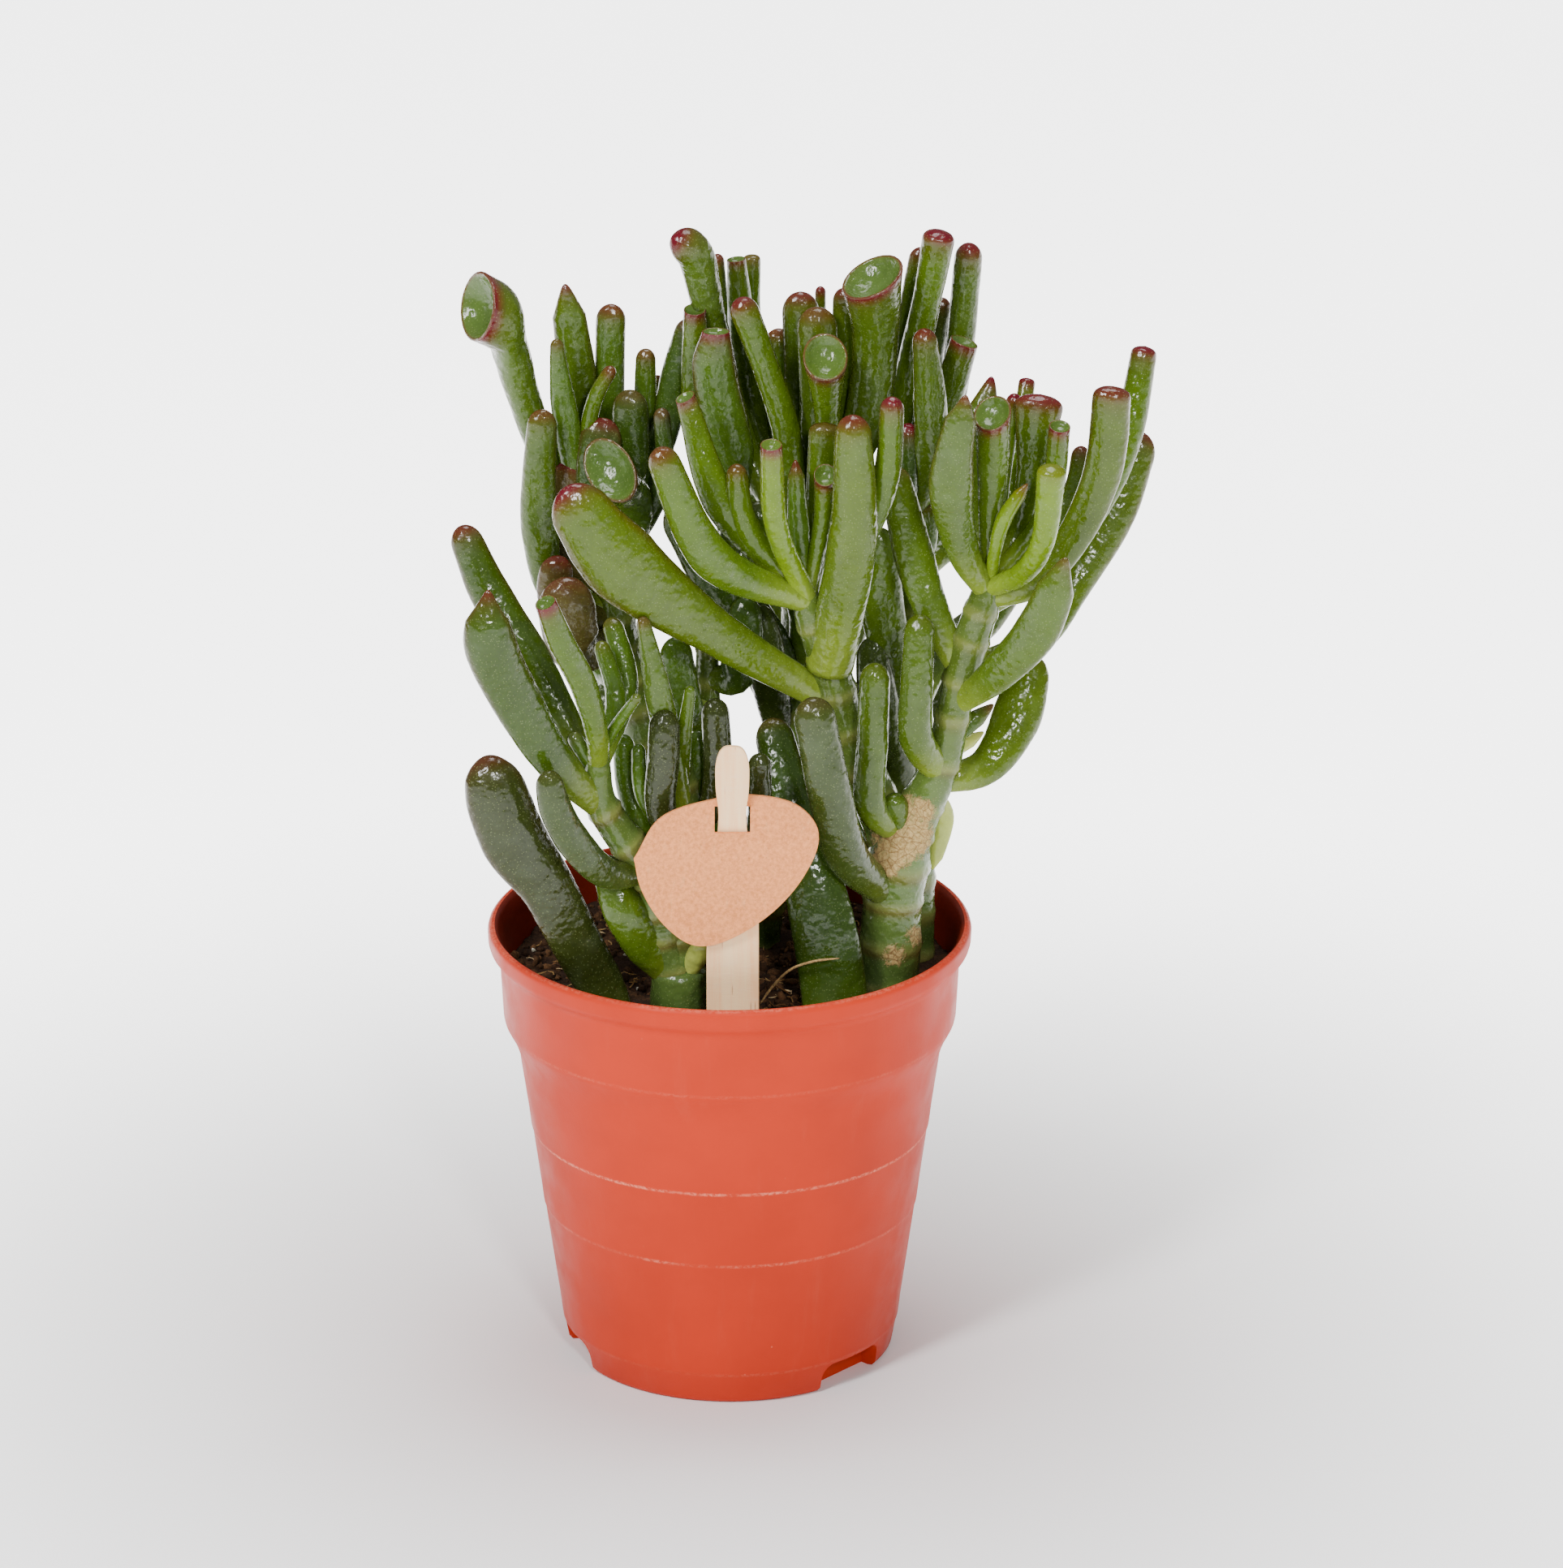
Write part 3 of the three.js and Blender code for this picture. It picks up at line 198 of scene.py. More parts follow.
LEAVES_LEFT = [
    ("trunk", [
        (1.7, [(-20, -6, -29), (-26, 3, -31), (-31, 16, -27)], [8, 11.6, 11, 7], 0.7, "mid", 0),
        (1.6, [(-5.4, -5, -33.4)], [5, 6], 0.85, "pale", 0),
    ]),
    ("front", [
        (2.3, [(-30, 11.6, -37), (-38, 19, -42), (-43, 28, -45), (-45, 37, -46)],
         [5.4, 7.6, 8.6, 8, 6], 0.7, "dull", 0.05),
        (5.4, [(-40.6, 49, -26), (-50, 66, -21), (-59.4, 81.4, -17), (-66.4, 97.4, -15)],
         [5, 8, 10, 10, 7.2], 0.65, "sage", 0.5),
        (4.6, [(-43, 39, -38), (-53.4, 56, -43), (-59.2, 69, -47), (-59.6, 81.6, -48)],
         [6, 9.6, 12.4, 13, 7], 0.6, "sage", 0.5, "point"),
        (6.4, [(-32.6, 45, -37), (-36, 58, -42), (-41.6, 69, -46), (-45.4, 78.4, -49)],
         [5, 5.6, 6.6, 6.6, 5.6], 0.85, "fresh", 0.9, "cup", (-0.3, 0.6, 0.75), (5.2, 4.4)),
        (6.6, [(-28, 48, -36), (-22.4, 55.6, -42)], [2.6, 3, 2.4], 0.9, "deep", 0.1),
        (6.2, [(-28, 54, -25), (-32, 69, -22)], [3.6, 5.2, 3.8], 0.8, "deep", 0.15),
        (6, [(-25.6, 58, -20), (-29.4, 74.8, -13)], [4.4, 6, 5], 0.8, "deep", 0.2),
        (5.8, [(-39, 46.4, -31)], [3.4, 4], 0.8, "deep", 0.1),
    ]),
    ("inner", [
        (2.6, [(-15, 44, -26), (-18, 58, -29), (-21.6, 75, -30)], [5, 6.6, 6.8, 3], 0.8, "mid", 0.3),
        (1.6, [(-17, 28, -31), (-16.4, 40, -32), (-16, 52, -31)], [5.6, 7.6, 8, 7.2], 0.8, "grey", 0),
        (3.6, [(-11.4, 44, -26), (-9.6, 58, -27)], [4, 4, 2.6], 0.85, "mid", 0),
        (1.8, [(-21.4, 31, -27), (-22.6, 43.6, -25)], [3.6, 4, 3.4], 0.8, "deep", 0),
        (2.2, [(-3.8, 30, -24), (-3.6, 54.8, -24)], [5, 7.2, 6.8], 0.8, "grey", 0),
        (1.5, [(5, 18, -26), (7.6, 41.2, -28)], [4.4, 6, 5.8], 0.8, "grey", 0),
        (1.4, [(-22, 24, -23), (-25, 34, -20), (-26.4, 46, -18)], [4.4, 6, 6.4, 5], 0.8, "deep", 0),
        (2.4, [(-7.8, 34, -19), (-7.8, 47, -17)], [4, 5.6, 4.8], 0.8, "deep", 0),
    ]),
]

LEAVES_BACK_LEFT = [
    ("main", [
        (6, [(-45, 114, 14), (-51, 130, 12), (-54, 141, 11), (-56, 148, 10), (-61.8, 151.4, 8)],
         [4.6, 7.6, 8, 10.6, 16.6, 17], 1, "mid", 0.7, "cup", (-0.85, 0.05, 0.52), (17, 17)),
        (6.6, [(-37, 112, 22), (-37.4, 131, 20), (-40.6, 157, 17)],
         [4.6, 8.6, 10, 7.4], 0.6, "mid", 0.6, "point"),
        (6.4, [(-38, 112, 10), (-41, 128, 9), (-42.8, 143.4, 8)], [4.6, 6.8, 6.4, 3], 0.7, "deep", 0.3),
        (6.8, [(-29.6, 116, 24), (-29.6, 134, 22), (-29.2, 152, 20)],
         [4.6, 7, 7.4, 7.2], 0.6, "deep", 0.5),
        (6.6, [(-35, 118, 10), (-33, 129, 9), (-28.8, 136.6, 8)], [3.4, 4, 4, 3.2], 0.9, "fresh", 0.5),
        (6.8, [(-22, 115, 19), (-20.6, 141, 17)], [4, 6.2, 4.8], 0.8, "deep", 0.4),
        (6.6, [(-24.6, 112, 12), (-24.6, 130.8, 10)], [5, 9, 9], 0.7, "shade", 0.2),
        (5.6, [(-16.6, 108, 6), (-16.8, 126.4, 5)], [3.4, 5, 4], 0.8, "shade", 0.3),
        (6.2, [(-16.6, 119, 16), (-13.4, 134, 19), (-9.6, 148.4, 20)],
         [4, 7, 7.4, 6], 0.7, "shade", 0.4),
        (5.2, [(-42.4, 80, 8), (-46.8, 97, 5), (-46.2, 126, 3)], [5, 7, 9.4, 7], 0.65, "mid", 0.4),
        (5.4, [(-42, 94, 10), (-38.8, 113.6, 9)], [5, 8.6, 7.4], 0.5, "brown", 0.8),
        (5.8, [(-23, 101, 7), (-29.4, 111, 0)],
         [6, 9, 11.6], 0.8, "deep", 0.4, "cup", (-0.35, 0.15, 0.92), (11.8, 18)),
        (6.2, [(-33, 108, 8), (-31, 124, 9)], [5, 10, 10.8], 0.4, "shade", 0.6),
        (4.6, [(-38, 68, -4), (-41, 84.6, -6)], [6, 13.6, 14.6], 0.5, "brown", 0.3),
        (4.9, [(-43, 79, 1), (-42, 90, 0)], [5, 8, 8.6], 0.5, "brown", 0.5),
        (5, [(-36, 86, 30), (-43, 104, 38), (-44, 118, 40)], [5, 8, 9, 7], 0.6, "mid", 0.4),
        (4, [(-30, 62, 32), (-38, 76, 44), (-41, 92, 48)], [5, 8, 9.6, 8], 0.6, "deep", 0.4),
        (3, [(-24, 44, 32), (-30, 56, 44), (-34, 70, 50)], [5, 9, 11, 9], 0.5, "dull", 0.3),
        (6, [(-24, 108, 30), (-21, 122, 35), (-17, 133, 38)],
         [4.6, 7, 8, 6.6], 0.7, "deep", 0.5, "cup", (0.2, 0.9, -0.4), (6.6, 5.6)),
        (6.4, [(-32, 110, 34), (-34, 128, 42)], [4.6, 8, 7], 0.6, "mid", 0.4),
        (2.4, [(-20, 36, 30), (-26, 46, 42), (-30, 58, 48)], [5, 8, 9, 7.4], 0.6, "deep", 0.3),
    ]),
]

LEAVES_BACK_CENTRE = [
    ("main", [
        (5.2, [(3, 118, 22), (-3.6, 142, 18), (-6.4, 156, 14), (-9, 165, 11), (-14, 168.8, 9)],
         [5, 7.6, 8.4, 8, 9.4, 8.4], 0.8, "mid", 0.8),
    ]),
    ("side", [
        (5.2, [(0, 115, 8), (-4, 138, 5), (-3.4, 145.2, 4)],
         [5, 12, 10.8, 7.4], 0.6, "deep", 0.9, "cup", (0, 0.85, 0.5), (6.8, 4)),
        (5.4, [(-7.4, 122, 14), (-8.6, 150.6, 12)],
         [4.4, 7.2, 6.6], 0.8, "fresh", 0.6, "cup", (0, 0.75, 0.66), (5.4, 4.6)),
    ]),
    ("main", [
        (5.4, [(5, 130, 27), (3, 146, 25), (1.6, 163, 22)],
         [4.4, 6.4, 7, 5.6], 0.8, "mid", 0.4, "cup", (-0.1, 0.9, 0.4), (4.6, 4)),
        (5.6, [(-1, 146, 31), (-3.2, 164.4, 31)], [3, 4, 3.4], 0.8, "mid", 0.6),
        (5.6, [(6, 146, 31), (5.4, 164.2, 31)], [3, 4, 4.4], 0.8, "fresh", 0.3, "flat"),
        (5.2, [(14, 120, 6), (9, 136, 5), (2.4, 153.6, 4)], [5, 7, 6.6, 7.2], 0.8, "fresh", 0.7),
        (5.4, [(24, 112, 4), (24, 126, 0), (23.6, 138.8, -5)],
         [4.6, 5.4, 6.4, 10], 0.9, "leafy", 0.5, "cup", (0.05, 0.3, 0.95), (10.8, 12.4)),
        (5.6, [(22, 120, 12), (21.4, 151.2, 8)], [5, 10, 10], 0.7, "mid", 0.4),
        (5.6, [(18, 120, 20), (17.4, 155, 16)], [5, 9, 9], 0.65, "mid", 0.6),
        (5.6, [(12.4, 126, 24), (12, 146, 24)], [4, 7.4, 7], 0.6, "deep", 0.5),
        (5.8, [(22, 135, 24), (22.4, 156.4, 24)], [2.6, 3, 2.6], 0.9, "fresh", 0.7),
        (5.6, [(27, 126, 15), (28.4, 156, 13)], [4.4, 6.8, 5.6], 0.8, "mid", 0.6),
        (5.3, [(33, 122, 10), (36, 146, 7), (35.2, 158.4, 3)],
         [5.6, 10.6, 11.4, 14], 0.85, "mid", 0.7, "cup", (-0.42, 0.68, 0.6), (16, 15.4)),
        (3.2, [(10, 66, 9), (0, 80, 5), (-14, 103, 3)], [7, 12, 14, 10], 0.5, "shade", 0.1),
        (3.4, [(19, 78, 8), (12, 90, 5), (5, 103, 5)], [7, 10, 12, 9], 0.5, "deep", 0.1),
        (2.8, [(10, 58, 9), (8.4, 68, 5), (6.6, 78, 4)], [7, 9, 10, 7], 0.6, "dull", 0),
    ]),
    ("side", [
        (2.2, [(-9, 50, 3), (-12.6, 61, 1), (-13.4, 70, 1)], [5, 8, 9, 7], 0.6, "deep", 0),
        (2.6, [(1, 60, 3), (3.4, 70, 1), (4, 80, 2)], [5, 9, 10, 7.4], 0.6, "shade", 0),
    ]),
    ("main", [
        (5, [(4, 104, 32), (-4, 120, 42), (-8, 136, 46)], [5, 8.6, 10, 8], 0.6, "leafy", 0.4),
        (5, [(14, 106, 36), (13, 124, 46), (11, 138, 50)],
         [5, 8, 9, 7.6], 0.7, "mid", 0.6, "cup", (0, 0.8, -0.6), (8, 7)),
        (5, [(26, 104, 36), (30, 124, 44), (32, 142, 46)], [5, 9, 10.6, 8], 0.6, "deep", 0.4),
        (4, [(24, 84, 34), (30, 98, 50), (32, 112, 58)], [5, 9, 11, 9], 0.55, "fresh", 0.4),
        (4, [(6, 84, 36), (2, 98, 50), (2, 110, 56)], [5, 9, 11, 9], 0.55, "leafy", 0.4),
        (3, [(22, 60, 36), (28, 72, 52), (30, 86, 60)], [5, 10, 12, 9], 0.5, "mid", 0.3),
        (3, [(8, 62, 34), (4, 74, 50), (6, 86, 58)], [5, 10, 12, 9], 0.5, "leafy", 0.3),
        (2, [(18, 34, 38), (24, 46, 50), (26, 60, 56)], [5, 9, 11, 9], 0.55, "dull", 0.3),
        (1.6, [(2, 14, 38), (-4, 24, 48), (-8, 34, 52)], [5, 9, 10, 8], 0.55, "deep", 0.3),
    ]),
]

LEAVES_BACK_RIGHT = [
    ("main", [
        (6.2, [(41.8, 120, 16), (45, 137, 14), (48.8, 154, 11), (51.8, 170, 8)],
         [4.6, 6.4, 7.4, 7, 8], 0.8, "fresh", 0.8, "flat"),
        (6.6, [(44.4, 146, 21), (47.4, 166, 19)], [4, 6.4, 5.6], 0.6, "mid", 0.6),
        (6.4, [(51, 115, 21), (55.6, 134, 20), (59.2, 167, 16)], [4.6, 6.6, 7.2, 6.8], 0.85, "mid", 0.7),
        (6.2, [(48.4, 116, 13), (54.2, 131, 12), (57.8, 142.6, 11)],
         [4.6, 7, 8, 8], 0.85, "mid", 0.6, "cup", (0.35, 0.85, 0.35), (7, 7)),
        (6, [(49.2, 115, 6), (49.4, 128, 3), (47.8, 146, 2)], [4.6, 8, 8.4, 5.6], 0.8, "mid", 0.6),
        (6.6, [(50, 138, 26), (52.6, 153.6, 26)], [3.6, 5, 4.6], 0.7, "dull", 0.4),
        (5.8, [(43.6, 108, 7), (44, 122.6, 6)], [4.4, 6.2, 5.6], 0.8, "shade", 0.9),
        (5.4, [(48, 92, 12), (49, 103.6, 11)], [4, 5.6, 5], 0.7, "deep", 0.3),
        (3.2, [(40, 64, 5), (37.4, 80, 3), (36.6, 97, 3)], [6, 10, 11, 8], 0.55, "mid", 0),
        (2.6, [(40, 44, 5), (36.4, 56, 3), (35, 70, 3)], [6, 9.6, 10, 7.6], 0.6, "dull", 0),
        (5.4, [(51, 98, 34), (58, 112, 42), (62, 124, 44)], [4.6, 7.4, 8.6, 7], 0.65, "deep", 0.4),
        (5.6, [(44, 106, 36), (42, 122, 44), (42, 138, 46)], [4.6, 8, 9.4, 8], 0.6, "mid", 0.4),
        (5.2, [(60, 97, 32), (72, 102, 40), (80, 112, 44)], [4.6, 7.4, 9, 7], 0.6, "fresh", 0.4),
        (3.6, [(52, 66, 30), (62, 74, 42), (70, 84, 48)], [4.6, 8, 10, 8], 0.55, "mid", 0.4),
        (2.6, [(48, 44, 30), (52, 56, 42), (56, 68, 48)], [4.6, 7.6, 9, 7], 0.6, "dull", 0.3),
        (1.6, [(37, 20, 30), (31, 32, 42), (30, 46, 46)], [4.6, 7.6, 9, 7], 0.6, "deep", 0.3),
    ]),
]

# Single leaves that are rooted by themselves
LEAF_LEFT = {
    "points": [
        (-27.4, -38, -24), (-30, -21, -24), (-39, -3, -28), (-45.6, 9.4, -31), (-53, 19.6, -33),
        (-58, 33, -34), (-60, 40.8, -33),
    ],
    "widths": [9, 11.6, 12.6, 13.4, 16.6, 15.4, 10],
    "flatness": 0.55,
    "tone": "grey",
    "red": 0.3,
}
LEAF_CENTRE = {
    "points": [
        (26, -38, -27), (26, -20, -27), (23, -1, -25), (19, 15, -21), (14, 33, -13), (10, 50, -5),
    ],
    "widths": [12, 16.6, 16, 14, 11, 9],
    "flatness": 0.45,
    "tone": "shade",
    "red": 0.2,
}

# Colours, as red, green and blue from 0 to 255
TONES = {
    "bright": (130, 152, 38),
    "fresh": (106, 128, 32),
    "leafy": (108, 130, 36),
    "mid": (104, 124, 48),
    "olive": (108, 126, 38),
    "deep": (102, 126, 54),
    "sage": (88, 108, 42),
    "dull": (88, 102, 54),
    "grey": (80, 88, 48),
    "shade": (86, 108, 52),
    "brown": (112, 104, 66),
    "pale": (188, 196, 120),
}
PALE_BASE = (168, 182, 92)
TIP_RED = (126, 36, 58)
TIP_BROWN = (120, 80, 56)
MARGIN_BROWN = (112, 66, 50)
CUP_INSIDE = (116, 138, 84)
BLOOM = (176, 190, 168)
DOT_PALE = (206, 216, 166)
STEM_YOUNG = (108, 124, 58)
STEM_OLD = (118, 138, 84)
STEM_FOOT = (76, 96, 56)
SCAR_PALE = (186, 186, 128)
SCAR_BROWN = (138, 98, 66)
CORK_LIGHT = (212, 192, 146)
CORK_DARK = (180, 156, 112)
CORK_CRACK = (146, 116, 80)
POT_ORANGE = (206, 90, 62)
# Darker inside face of the pot: partly its own colour, partly painted shade
POT_INSIDE_SHADE = (134, 62, 48)
# Pale for scuff marks and specks, and for the painted highlight along the top of the rim
POT_SCUFF_AND_SHEEN = (244, 178, 156)
PEAT_DARK = (88, 68, 54)
PEAT_LIGHT = (146, 116, 88)
STRAW = (206, 180, 138)
FIBRES = [STRAW, (190, 160, 118), (150, 118, 84), (226, 206, 172)]
PERLITE = (226, 222, 210)
WOOD_LIGHT = (255, 229, 192)
WOOD_DARK = (248, 208, 166)
WOOD_FLECK = (246, 224, 196)
WOOD_PORE = (160, 112, 74)
KRAFT_LIGHT = (242, 182, 134)
KRAFT_DARK = (218, 158, 112)
KRAFT_FIBRE = (228, 194, 160)
KRAFT_SPECK = (128, 88, 58)
FLOOR_WHITE = (0.97, 0.97, 0.97, 1)
FLOOR_SHADE = (0.94, 0.94, 0.94, 1)
FLOOR_GLOW = 3.9
FLOOR_GLOW_REACH = (0.04, 0.42)
# The floor glows less in front, from this share of its glow up to all of it, between these Y
FLOOR_FRONT_SHARE = 0.3
FLOOR_FRONT_REACH = (-0.5, 0.3)

# The studio washes colours out, so they are laid on purer than they look in it
PAINT_DEPTH = 1.12
PAINT_PURITY = 1.5


def linear(rgb):
    """A colour from 0 to 255 as the linear red, green and blue to paint with."""
    share = np.asarray(rgb, float) / 255
    low = share / 12.92
    high = ((share + 0.055) / 1.055) ** 2.4
    return np.where(share <= 0.04045, low, high) ** PAINT_PURITY * PAINT_DEPTH


def smooth(low, high, value):
    """0 below low, 1 above high, and an even rise between them."""
    share = np.clip((value - low) / (high - low), 0, 1)
    return share * share * (3 - 2 * share)


def turns(count):
    """Angles of even steps once round a circle."""
    return np.arange(count) / count * 2 * math.pi


# The drawing

def placed(place):
    """The point in space of a drawn place, found along the line of sight through it."""
    across, up, depth = place[:3]
    drawn = RIM_CENTRE + across * DRAWN_SCALE * SIGHT_RIGHT + up * DRAWN_SCALE * SIGHT_UP
    sight = drawn - EYE
    return EYE + sight * (depth - EYE[1]) / sight[1]


def facing(way):
    """A direction in space from (right, up, towards the eye)."""
    right, up, towards = way
    return unit(right * SIGHT_RIGHT + up * SIGHT_UP + towards * SIGHT_BACK)


def unit(vector):
    return vector / np.linalg.norm(vector)


class Line:
    """A smooth line through points, by centripetal spans."""

    SAMPLES_PER_SPAN = 60

    def __init__(self, points):
        self.points = [np.asarray(point, float) for point in points]
        spans = len(self.points) - 1
        self.index = np.linspace(0, spans, spans * self.SAMPLES_PER_SPAN + 1)
        self.samples = np.array([self.at_index(value) for value in self.index])
        steps = np.linalg.norm(np.diff(self.samples, axis=0), axis=1)
        self.lengths = np.concatenate([[0], np.cumsum(steps)])
        self.length = self.lengths[-1]

    def at_index(self, value):
        points = self.points
        last = len(points) - 1
        span = min(int(value), last - 1)
        weight = value - span
        p1 = points[span]
        p2 = points[span + 1]
        p0 = points[span - 1] if span > 0 else 2 * points[0] - points[1]
        p3 = points[span + 2] if span + 2 <= last else 2 * points[last] - points[last - 1]
        d0, d1, d2 = (math.sqrt(np.linalg.norm(b - a)) for a, b in ((p0, p1), (p1, p2), (p2, p3)))
        t1 = ((p1 - p0) / d0 - (p2 - p0) / (d0 + d1) + (p2 - p1) / d1) * d1
        t2 = ((p2 - p1) / d1 - (p3 - p1) / (d1 + d2) + (p3 - p2) / d2) * d1
        c2 = -3 * p1 + 3 * p2 - 2 * t1 - t2
        c3 = 2 * p1 - 2 * p2 + t1 + t2
        return p1 + t1 * weight + c2 * weight**2 + c3 * weight**3

    def at(self, share):
        """Points at shares of the whole length."""
        wanted = np.asarray(share) * self.length
        return np.stack([np.interp(wanted, self.lengths, self.samples[:, k]) for k in range(3)], -1)

    def along(self, share):
        """Directions at shares of the whole length."""
        step = 0.004
        share = np.asarray(share)
        ahead = self.at(np.minimum(share + step, 1))
        behind = self.at(np.maximum(share - step, 0))
        run = ahead - behind
        return run / np.linalg.norm(run, axis=-1, keepdims=True)

    def share_of_point(self, count):
        """The share of the whole length at which each of the given points lies."""
        return np.interp(np.arange(count), self.index, self.lengths) / self.length


def oval(centre, side, front, angles, half_wide, half_deep):
    """Points round a centre, one for each angle."""
    points = centre + half_wide * np.outer(np.cos(angles), side)
    return points - half_deep * np.outer(np.sin(angles), front)


def tube(centres, alongs, radii, sides):
    """Round rings along a line."""
    rings = []
    side = None
    for centre, along, radius in zip(centres, alongs, radii):
        side, front = cross_axes(centre, along, side)
        rings.append(oval(centre, side, front, turns(sides), radius, radius))
    return np.array(rings)


def cross_axes(point, along, before):
    """Two directions across a line: one to the side as the eye sees it, one towards the eye."""
    side = np.cross(along, unit(EYE - point))
    if before is not None and np.linalg.norm(side) < 0.3:
        side = before
    side = unit(side - along * (side @ along))
    return side, np.cross(side, along)


# Pieces gathered point by point

def capped(first, values, last):
    """Values with one more at each end."""
    return np.concatenate([[first], values, [last]])


class Flesh:
    """Points, faces, tints and cork amounts of one piece."""

    def __init__(self):
        self.points = []
        self.faces = []
        self.tints = []
        self.corks = []
        self.count = 0

    def add(self, points, faces, tints, corks):
        self.points.append(points)
        self.faces.extend([tuple(index + self.count for index in face) for face in faces])
        self.tints.append(tints)
        self.corks.append(corks)
        self.count += len(points)

    def add_rings(self, rings, start, end, tints, corks):
        """Rings skinned into one closed body, with a point at each end. tints and corks hold one
        value for start, one for each point of each ring, and one for end."""
        ring_count, sides = rings.shape[:2]
        points = capped(start, rings.reshape(-1, 3), end)
        last = len(points) - 1
        faces = []
        for side in range(sides):
            following = (side + 1) % sides
            faces.append((0, 1 + following, 1 + side))
            for ring in range(ring_count - 1):
                low = 1 + ring * sides
                high = low + sides
                faces.append((low + side, low + following, high + following, high + side))
            top = 1 + (ring_count - 1) * sides
            faces.append((top + side, top + following, last))
        self.add(points, faces, tints, corks)

    def build(self, name):
        points = np.concatenate(self.points) * MM
        mesh = bpy.data.meshes.new(name)
        mesh.from_pydata(points.tolist(), [], self.faces)
        tint = mesh.attributes.new("tint", "FLOAT_COLOR", "POINT")
        colours = np.concatenate(self.tints)
        tint.data.foreach_set("color", np.c_[colours, np.ones(len(colours))].astype(np.float32).ravel())
        cork = mesh.attributes.new("cork", "FLOAT", "POINT")
        cork.data.foreach_set("value", np.concatenate(self.corks).astype(np.float32))
        mesh.shade_smooth()
        return link(name, mesh)


def link(name, data):
    """Something new in the scene: a piece, a lamp or the camera."""
    made = bpy.data.objects.new(name, data)
    bpy.context.scene.collection.objects.link(made)
    return made


# Uneven growth of leaves and stems: (share of the radius, size of the lumps, step of the seed)
LEAF_SWELL = ((0.022, 7, 0.5), (0.01, 2.6, 0.9))
STEM_SWELL = ((0.03, 8, 0.3), (0.014, 2.4, 0.6))


def swollen(rings, centres, growth, seed):
    """Rings with their points moved out and in by soft lumps."""
    points = rings.reshape(-1, 3)
    swell = sum(amount * lumps(points, size, seed + step) for amount, size, step in growth)
    return rings + (rings - centres[:, None]) * swell.reshape(rings.shape[:2])[..., None]


def lumps(points, size, seed):
    """Soft noise from -1 to 1 at each point, with lumps of about that size."""
    shift = Vector((seed * 7.3, seed * 3.1, seed * 5.7))
    return np.array([noise.noise(Vector(point) / size + shift) for point in points])


# Leaves

def tip_sizes(tip, share):
    """How wide a leaf still is, from 1 down to 0, at each share of its closing stretch."""
    if tip == "point":
        return np.sqrt(1 - share) * (1 - POINT_TAPER * share)
    return np.sqrt(np.maximum(1 - share ** TIP_SQUARENESS[tip], 0))


# Tips: how long the closing stretch is as a share of the width there, and how squarely it closes
TIP_REACH = {"round": 0.6, "point": 1.15, "flat": 0.38, "cup": 0}
TIP_SQUARENESS = {"round": 2, "flat": 3.2}
POINT_TAPER = 0.25
FLAT_BULGE = 0.02
LONGEST_TIP = 0.4
TIP_ROWS = 9
FEWEST_ROWS = 10
# Towards its base a leaf is rounder by this share, up to this share of its length
BASE_ROUNDER = 0.2
BASE_REACH = 0.35
# Cups turn their way over this last share, flare by this power, and sink in from the lip:
# (size, rise) of each ring inside, and the depth of the middle
TURN_SHARE = 0.45
CUP_FLARE = 1.7
CUP_DEPTH = 0.22
CUP_PALE = 0.6
LIP_SIZES = (0.86, 0.97)
DISH = ((1.0, 0.02), (0.95, 0.035), (0.88, 0.01), (0.74, -0.09), (0.52, -0.17), (0.28, -0.21))


def leaf_rows(curve, tip, last_width):
    """Shares of the leaf's length at which it has a ring, and the size of each from its tip."""
    reach = min(LONGEST_TIP, TIP_REACH[tip] * last_width / curve.length)
    rows = max(FEWEST_ROWS, round(curve.length / LEAF_STEP))
    body = np.linspace(0, 1 - reach, rows)
    if tip == "cup":
        return body, np.ones(rows)
    closing = np.sin(np.linspace(0, math.pi / 2, TIP_ROWS + 1))[1:-1]
    shares = np.concatenate([body, 1 - reach + reach * closing])
    return shares, np.concatenate([np.ones(rows), tip_sizes(tip, closing)])


def leaf_widths(curve, widths, shares):
    """The width at each share, with the corners between the given widths rounded off."""
    knots = curve.share_of_point(len(widths))
    fine = np.linspace(0, 1, 201)
    straight = np.interp(fine, knots, widths)
    reach = 14
    kernel = np.hanning(2 * reach + 1)
    padded = np.concatenate([
        2 * straight[0] - straight[reach:0:-1], straight, 2 * straight[-1] - straight[-2:-reach - 2:-1],
    ])
    rounded = np.convolve(padded, kernel / kernel.sum(), "valid")
    return np.interp(shares, fine, rounded)


# How far the tone varies, from leaf to leaf and in patches of a size in mm
TONE_SPREAD = 0.08
PATCH_SIZE = 9
# The pale base: how strong, up to which share of the length, and how strong in dark tones
PALE_AMOUNT = 0.55
PALE_TO = 0.34
DARK_TONES = ("shade", "brown", "dull", "grey")
DARK_PALE_SHARE = 0.4
# The brown margin: how near the edge, from where along the leaf, and how thin a leaf has it whole
MARGIN_EDGE = (0.72, 1.0)
MARGIN_ALONG = (0.3, 0.8)
MARGIN_FLATNESS = 0.68
# How far the red blush and the brown flush behind it reach from the tip in mm
BLUSH_FROM = 0.4
BLUSH_REACH = 4.0
CUP_BLUSH_REACH = 3.0
FLUSH_REACH = 10


